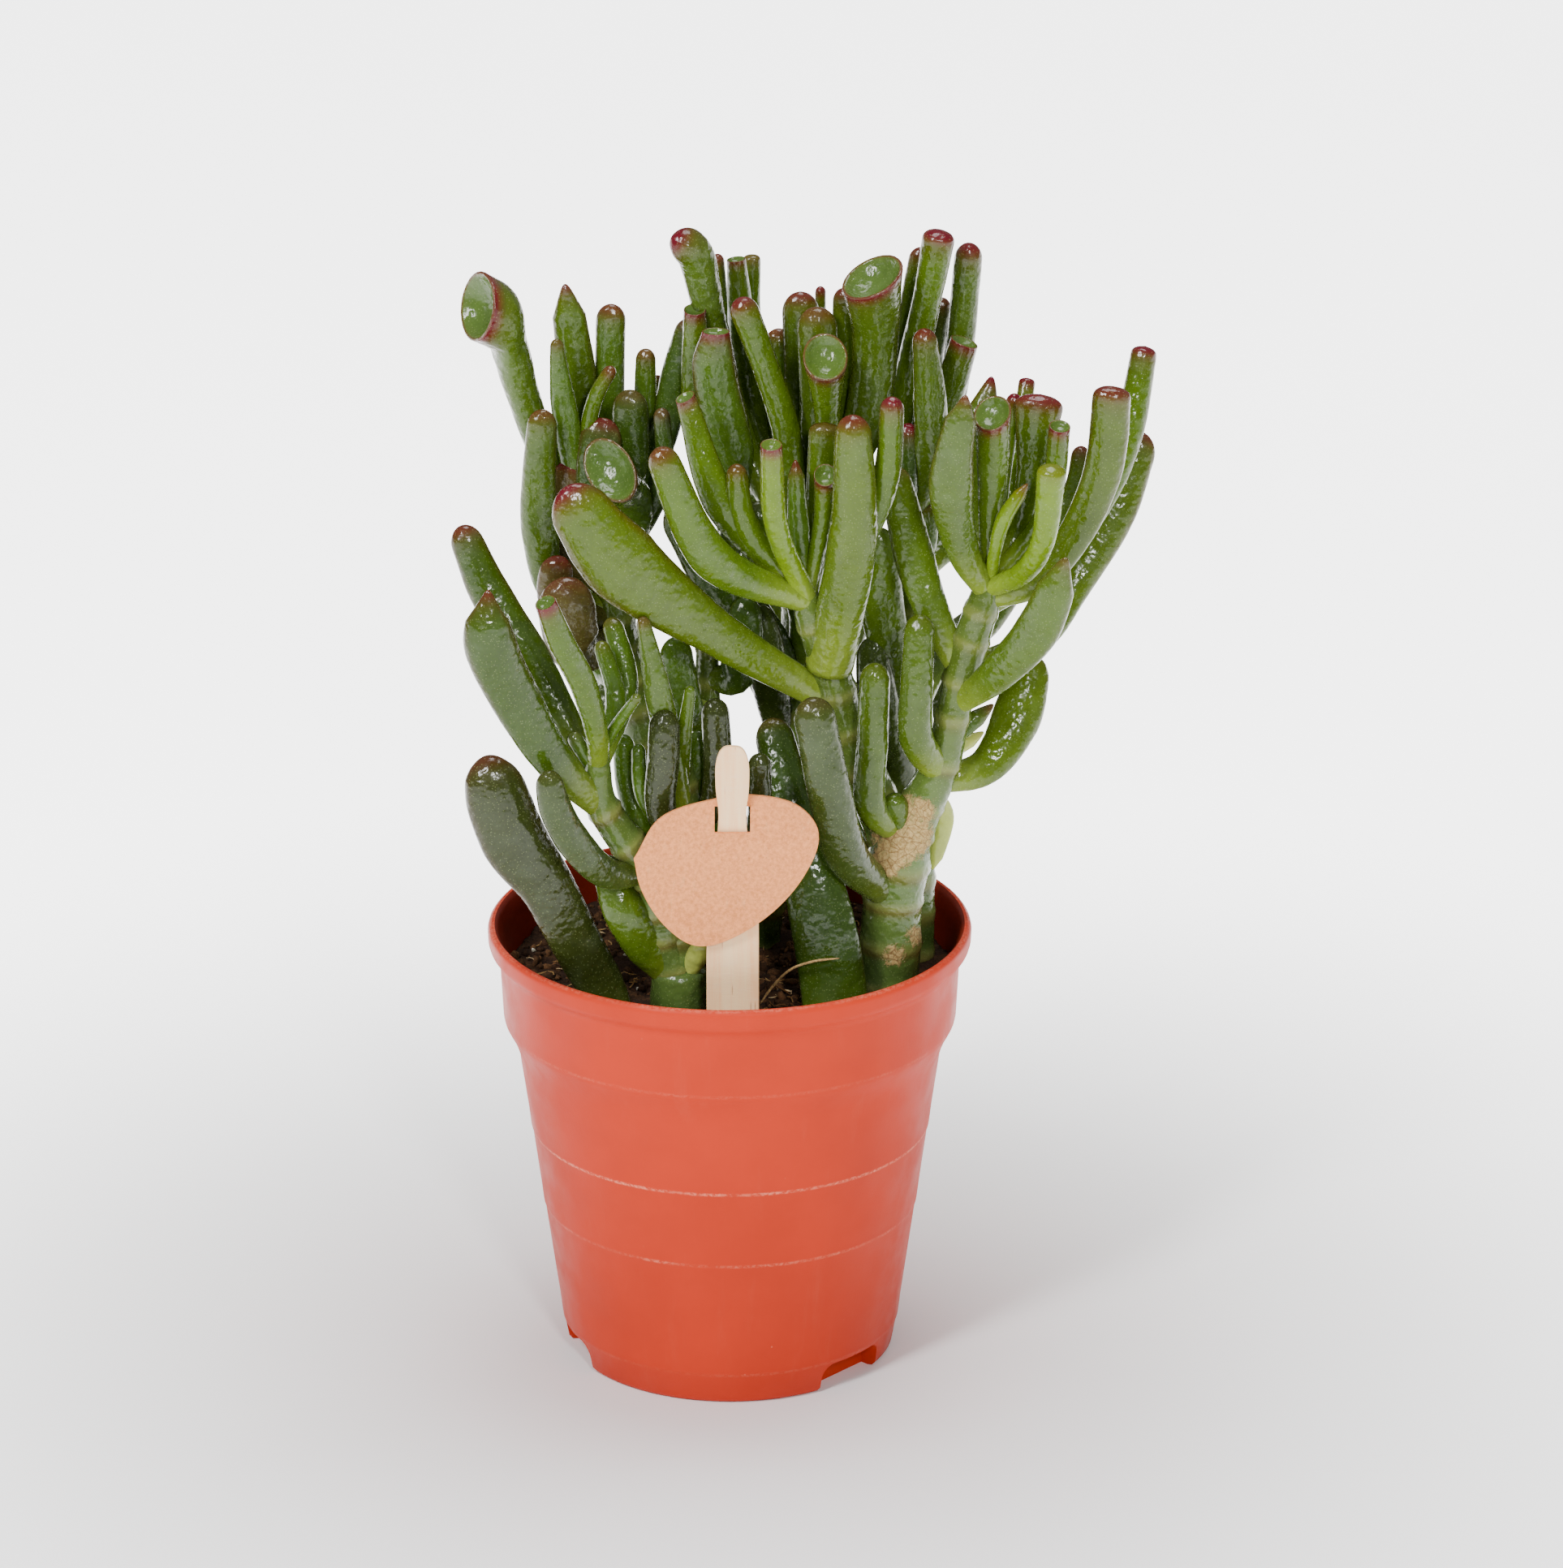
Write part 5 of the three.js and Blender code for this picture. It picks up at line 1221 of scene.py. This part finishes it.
def notch_mesh(degrees, margin):
    """A drainage notch: an arch through the bottom edge, wider and deeper by margin."""
    half = NOTCH_WIDTH / 2 + margin
    height = NOTCH_HEIGHT + margin
    arch = NOTCH_ARCH + margin
    outline = [(-half, -5), (half, -5)]
    for centre, first in ((half - arch, 0), (arch - half, 90)):
        for step in range(9):
            angle = math.radians(first + step * 90 / 8)
            outline.append((centre + arch * math.cos(angle), height - arch + arch * math.sin(angle)))
    turn = Matrix.Rotation(math.radians(degrees - 90), 4, "Z")
    return prism_mesh("notch", outline, NOTCH_BACK - margin, RIM_RADIUS, turn)


def drain_mesh(degrees):
    """A round drain hole behind a notch."""
    outline = [(DRAIN_RADIUS * math.cos(angle), DRAIN_RADIUS * math.sin(angle)) for angle in turns(24)]
    upright = Matrix.Rotation(math.radians(90), 4, "X")
    out = Matrix.Translation((NOTCH_BACK + DRAIN_RADIUS + 1, 0, NOTCH_HEIGHT))
    turn = Matrix.Rotation(math.radians(degrees), 4, "Z")
    return prism_mesh("drain", outline, -NOTCH_HEIGHT, NOTCH_HEIGHT, turn @ out @ upright)


def make_pot():
    """The shell of the pot, with its notches and drain holes."""
    outside = cut(pot_outside(), "DIFFERENCE", *[notch_mesh(degrees, 0) for degrees in NOTCH_DEGREES])
    hollow = lathe_mesh("pot_inside", INSIDE_PROFILE)
    inside = cut(hollow, "DIFFERENCE", *[notch_mesh(degrees, WALL) for degrees in NOTCH_DEGREES])
    mesh = cut(outside, "DIFFERENCE", inside, *[drain_mesh(degrees) for degrees in NOTCH_DEGREES])
    hard_piece("pot_shell", mesh, 32, "pot", make_pot_material())


# Soil

SOIL_STEP = 0.9
SOIL_SIDES = 300
SOIL_FOOT = 10
# Rings of the soil against the inside of the pot, as (radius, height)
SOIL_WALL = [(body_radius(12) - WALL, SOIL_FOOT), ((SOIL_RADIUS - 0.9) * 0.95, 84)]
# Swells, clods and grain of the soil's top: (height, size)
SOIL_LUMPS = [(1.5, 9), (0.9, 3.6), (0.45, 1.5)]
SOIL_SEED = 3
# Loose crumbs: how many, their sizes, how stretched in three ways, and how rough
CRUMB_COUNT = 1500
CRUMB_SIZES = (0.35, 1.5)
CRUMB_STRETCH = ((0.7, 1.6), (0.6, 1.1), (0.45, 0.9))
CRUMB_ROUGH = (0.75, 1.2)
PERLITE_SHARE = 0.035
PERLITE_SIZES = (0.5, 1.1)
# Fibres: how many, their lengths and radii, how they waver, and how high they lie
FIBRE_COUNT = 200
FIBRE_LENGTHS = (2.5, 7)
FIBRE_RADII = (0.1, 0.24)
FIBRE_WAVER = 0.9
FIBRE_LIFT = (0.1, 1.3)
# Where fibres lie thickest: (x, y, spread, how many)
FIBRE_HEAPS = [(13, -38, 4.5, 70), (-38, -30, 4, 50)]


def soil_height(x, y):
    """Height of the soil's top at a place: broad swells, clods and fine grain."""
    place = Vector((x, y, SOIL_SEED))
    return SOIL_LEVEL + 0.2 + sum(rise * noise.noise(place / size) for rise, size in SOIL_LUMPS)


def make_soil_bed():
    """The body of the soil, with a lumpy top."""
    flesh = Flesh()
    angles = turns(SOIL_SIDES)
    across = np.stack([np.cos(angles), np.sin(angles)], -1)
    rings = [np.c_[across * reach, np.full(SOIL_SIDES, height)] for reach, height in SOIL_WALL]
    radius = SOIL_RADIUS
    while radius > SOIL_STEP:
        heights = [soil_height(x, y) for x, y in across * radius]
        rings.append(np.c_[across * radius, heights])
        radius -= SOIL_STEP
    rings = np.array(rings)
    points = rings.reshape(-1, 3)
    light = smooth(0.0, 0.75, lumps(points, 4, 9)) * 0.5
    tints = blend(np.broadcast_to(linear(PEAT_DARK), points.shape), linear(PEAT_LIGHT), light)
    tints = capped(tints[0], tints, tints[-1])
    start = np.array((0, 0, SOIL_FOOT))
    end = np.array((0, 0, soil_height(0, 0)))
    flesh.add_rings(rings, start, end, tints, np.zeros(len(tints)))
    finish_piece(flesh.build("soil_bed"), "soil", soil_material)


# Where roots go down through the soil, and how far loose bits keep away from their middle
ROOT_PLACES = [
    (39, -14, -12), (-12.4, -16, -27), (-14, -7, 14), (6, -6, 20), (45.5, -10, 7), (-31, -19, -25),
    (26, -16, -27),
]
ROOT_REACH = 10.5


def random_place(rng):
    """A place on the soil, clear of the roots."""
    while True:
        reach = (SOIL_RADIUS - 1.5) * math.sqrt(rng.random())
        angle = rng.uniform(0, 2 * math.pi)
        x, y = reach * math.cos(angle), reach * math.sin(angle)
        gaps = [math.dist((x, y), placed(root)[:2]) for root in ROOT_PLACES]
        if min(gaps) > ROOT_REACH:
            return x, y, soil_height(x, y)


def make_soil_crumbs():
    """Loose crumbs of peat, with a few white grains among them."""
    rng = random.Random(21)
    body = bmesh.new()
    bmesh.ops.create_icosphere(body, subdivisions=1, radius=1)
    body.verts.ensure_lookup_table()
    ball = np.array([vert.co[:] for vert in body.verts])
    ball_faces = [tuple(vert.index for vert in face.verts) for face in body.faces]
    body.free()
    flesh = Flesh()
    for _ in range(CRUMB_COUNT):
        x, y, z = random_place(rng)
        white = rng.random() < PERLITE_SHARE
        size = rng.uniform(*PERLITE_SIZES) if white else rng.uniform(*CRUMB_SIZES) ** 1.3
        turn = rng.uniform(0, math.pi)
        axis = Vector((rng.gauss(0, 1), rng.gauss(0, 1), 1))
        spin = np.array(Matrix.Rotation(turn, 3, axis))
        stretch = np.array([rng.uniform(low, high) for low, high in CRUMB_STRETCH])
        rough = np.array([rng.uniform(*CRUMB_ROUGH) for _ in ball])[:, None]
        points = (ball * rough * stretch * size) @ spin.T + (x, y, z + 0.2 * size)
        if white:
            colour = linear(PERLITE)
        else:
            colour = blend(linear(PEAT_DARK), linear(PEAT_LIGHT), rng.random() ** 1.6)
        flesh.add(points, ball_faces, np.broadcast_to(colour, points.shape), np.zeros(len(points)))
    finish_piece(flesh.build("soil_crumbs"), None, soil_material)


def add_thread(flesh, points, radius, colour, sides):
    """A thin round thread through points, tapering at both ends."""
    curve = Line(points)
    rows = max(6, round(curve.length / 1.2))
    shares = np.linspace(0, 1, rows)
    centres = curve.at(shares)
    alongs = curve.along(shares)
    taper = np.minimum(1, 0.45 + 4 * np.minimum(shares, 1 - shares))
    rings = tube(centres, alongs, radius * taper, sides)
    count = rows * sides + 2
    tints = np.broadcast_to(linear(colour), (count, 3))
    flesh.add_rings(rings, curve.at(0), curve.at(1), tints, np.zeros(count))


def make_soil_fibres():
    """Thin dry fibres strewn over the soil, and thicker in its heaps."""
    rng = random.Random(8)
    flesh = Flesh()
    heaps = [heap for *heap, count in FIBRE_HEAPS for _ in range(count)]
    for number in range(FIBRE_COUNT + len(heaps)):
        x, y, _ = random_place(rng)
        if number >= FIBRE_COUNT:
            middle_x, middle_y, spread = heaps[number - FIBRE_COUNT]
            x, y = rng.gauss(middle_x, spread), rng.gauss(middle_y, spread)
        angle = rng.uniform(0, 2 * math.pi)
        reach = rng.uniform(*FIBRE_LENGTHS)
        points = []
        for step in range(4):
            share = step / 3 - 0.5
            px = x + reach * share * math.cos(angle) + rng.uniform(-FIBRE_WAVER, FIBRE_WAVER)
            py = y + reach * share * math.sin(angle) + rng.uniform(-FIBRE_WAVER, FIBRE_WAVER)
            if math.hypot(px, py) > SOIL_RADIUS - 0.6:
                break
            points.append((px, py, soil_height(px, py) + rng.uniform(*FIBRE_LIFT)))
        if len(points) < 3:
            continue
        colour = rng.choice(FIBRES)
        add_thread(flesh, points, rng.uniform(*FIBRE_RADII), colour, 5)
    finish_piece(flesh.build("soil_fibres"), None, soil_material)


# The long straw by the stick: (across, up, depth)
STRAW_PLACES = [
    (7.4, -20.6, -26), (10.4, -16.4, -28), (15, -12, -31), (20.6, -10, -33), (27, -9.2, -34),
]


def make_straw():
    """One long pale straw on the soil."""
    flesh = Flesh()
    add_thread(flesh, [placed(place) for place in STRAW_PLACES], 0.32, STRAW, 8)
    finish_piece(flesh.build("straw"), None, soil_material)


# Label

STICK_THICK = 1.4
STICK_SOFT = 0.22
STICK_DEPTH = -41
STICK_ACROSS = 1
STICK_FOOT = 42
STICK_HALF = [
    (2.4, 0), (6.4, 6), (6.4, 100), (5.6, 105), (3.6, 109), (3.3, 116), (4, 120.4),
    (4.2, 127), (3.4, 130.6), (1.9, 132.4),
]
SLOT_HEIGHT = 155.5
SLOT_HALF_WIDTH = 4.3
SLOT_HALF_HEIGHT = 2.9
CARD_THICK = 0.9
CARD_SLOPE = 1.45
CARD_ACROSS = 0.8
# How far past its slot the card leans, then how far it bulges, how soon, and how it hangs back
CARD_LEAN_PAST = 1.4
CARD_BULGE = 1.3
CARD_SETTLE = 3
CARD_HANG = 0.035
# Heights from the slot at which the card bends
CARD_BENDS = [8, 3, -3, -4.3, -4.9, -5.5, -6.5, -8, -10, -12, -15, -20, -28, -36]
CARD_OUTLINE = [
    (-24.6, -9), (-18.6, 0), (-5, 4.4), (5, 5.2), (15.6, 2.6), (20, -3), (16.4, -13.6),
    (7, -24.6), (-5, -31.4), (-11, -31.4), (-18, -25.6), (-23, -16.6),
]


def cut_corners(points, times):
    """A closed outline with each corner cut off, over and over."""
    for _ in range(times):
        rounded = []
        for first, second in zip(points, points[1:] + points[:1]):
            for share in (0.22, 0.78):
                rounded.append(tuple(a + (b - a) * share for a, b in zip(first, second)))
        points = rounded
    return points


def make_stick():
    """The flat stick, with a neck and a round head."""
    outline = cut_corners(STICK_HALF + [(-half, height) for half, height in reversed(STICK_HALF)], 3)
    place = Matrix.Translation((STICK_ACROSS, STICK_DEPTH, STICK_FOOT))
    mesh = prism_mesh("stick", outline, -STICK_THICK / 2, STICK_THICK / 2, place)
    hard_piece("wood_stick", mesh, 35, "label_stick", make_wood_material(), STICK_SOFT)


def card_stand_off(up):
    """How far the card's middle stands in front of the stick's middle, by height from the slot."""
    reach = SLOT_HALF_HEIGHT + CARD_LEAN_PAST
    if up > -reach:
        return -CARD_SLOPE * up / SLOT_HALF_HEIGHT
    below = -up - reach
    bulge = CARD_BULGE * (1 - math.exp(-below / CARD_SETTLE))
    return CARD_SLOPE * reach / SLOT_HALF_HEIGHT + bulge - CARD_HANG * below


def make_card():
    """The card, bent so that its slot clears the stick's neck."""
    front = [(-card_stand_off(up) - CARD_THICK / 2, up) for up in CARD_BENDS]
    back = [(-card_stand_off(up) + CARD_THICK / 2, up) for up in reversed(CARD_BENDS)]
    middle = Matrix.Translation((STICK_ACROSS + CARD_ACROSS, STICK_DEPTH, SLOT_HEIGHT))
    sideways = Matrix.Rotation(math.radians(90), 4, "Z")
    sheet = prism_mesh("sheet", front + back, -40, 40, middle @ sideways)
    ring = Line([(x, 0, y) for x, y in [*CARD_OUTLINE, CARD_OUTLINE[0]]])
    outline = [(float(x), float(z)) for x, _, z in ring.at(np.linspace(0, 1, 121)[:-1])]
    blank = prism_mesh("blank", outline, -15, 15, middle)
    left, right = -CARD_ACROSS - SLOT_HALF_WIDTH, -CARD_ACROSS + SLOT_HALF_WIDTH
    low, high = -SLOT_HALF_HEIGHT, SLOT_HALF_HEIGHT
    slot = prism_mesh("slot", [(left, low), (right, low), (right, high), (left, high)], -16, 16, middle)
    mesh = cut(cut(blank, "DIFFERENCE", slot), "INTERSECT", sheet)
    hard_piece("brown_card", mesh, 40, "label_card", make_card_material())


# The object

leaf_material = make_leaf_material()
soil_material = make_soil_material()

leafy_piece("jade_right", "stem_right", STEMS_RIGHT, LEAVES_RIGHT, 100)
leafy_piece("jade_left", "stem_left", STEMS_LEFT, LEAVES_LEFT, 200)
leafy_piece("jade_back_left", "stem_back_left", STEMS_BACK_LEFT, LEAVES_BACK_LEFT, 300)
leafy_piece("jade_back_centre", "stem_back_centre", STEMS_BACK_CENTRE, LEAVES_BACK_CENTRE, 400)
leafy_piece("jade_back_right", "stem_back_right", STEMS_BACK_RIGHT, LEAVES_BACK_RIGHT, 500)
rooted_leaf("jade_leaf_left", "leaf_left", LEAF_LEFT, 600)
rooted_leaf("jade_leaf_centre", "leaf_centre", LEAF_CENTRE, 700)
make_pot()
make_soil_bed()
make_soil_crumbs()
make_soil_fibres()
make_straw()
make_stick()
make_card()


# Studio

CAMERA_LENS = 185.27
WORLD_STRENGTH = 0.3
LIT_PLACE = (0, 0, 0.15)
# Each lamp: name, place in metres, its two sides in metres, and watts
LAMPS = [
    ("key", (-0.9, -1.3, 1.5), (0.3, 0.7), 34),
    ("fill", (0.35, -1.8, 1.15), (0.2, 0.2), 18),
    ("top", (0.1, 0.15, 1.6), (0.7, 0.7), 15),
]


def make_floor():
    """A floor wide enough to fill the view."""
    body = bmesh.new()
    bmesh.ops.create_grid(body, x_segments=8, y_segments=8, size=8)
    floor = link("floor", freed(body, bpy.data.meshes.new("floor")))
    floor.data.materials.append(make_floor_material())


def make_lamp(name, place, size, watts):
    """A flat lamp that faces the middle of the plant."""
    lamp = bpy.data.lights.new(name, "AREA")
    lamp.shape = "RECTANGLE"
    lamp.size, lamp.size_y = size
    lamp.energy = watts
    holder = link(name, lamp)
    holder.location = place
    aim = Vector(LIT_PLACE) - Vector(place)
    holder.rotation_euler = aim.to_track_quat("-Z", "Y").to_euler()


def make_world():
    world = bpy.data.worlds.new("studio")
    world.use_nodes = True
    backdrop = world.node_tree.nodes["Background"]
    backdrop.inputs["Color"].default_value = (1, 1, 1, 1)
    backdrop.inputs["Strength"].default_value = WORLD_STRENGTH
    bpy.context.scene.world = world


def make_camera():
    """The camera at the eye of the drawing."""
    camera = bpy.data.cameras.new("camera")
    camera.sensor_width = 36
    camera.lens = CAMERA_LENS
    camera.clip_start = 0.05
    camera.clip_end = 50
    holder = link("camera", camera)
    holder.location = EYE * MM
    holder.rotation_euler = (math.pi / 2 - SIGHT_PITCH, 0, 0)
    bpy.context.scene.camera = holder


make_floor()
for lamp_row in LAMPS:
    make_lamp(*lamp_row)
make_world()
make_camera()
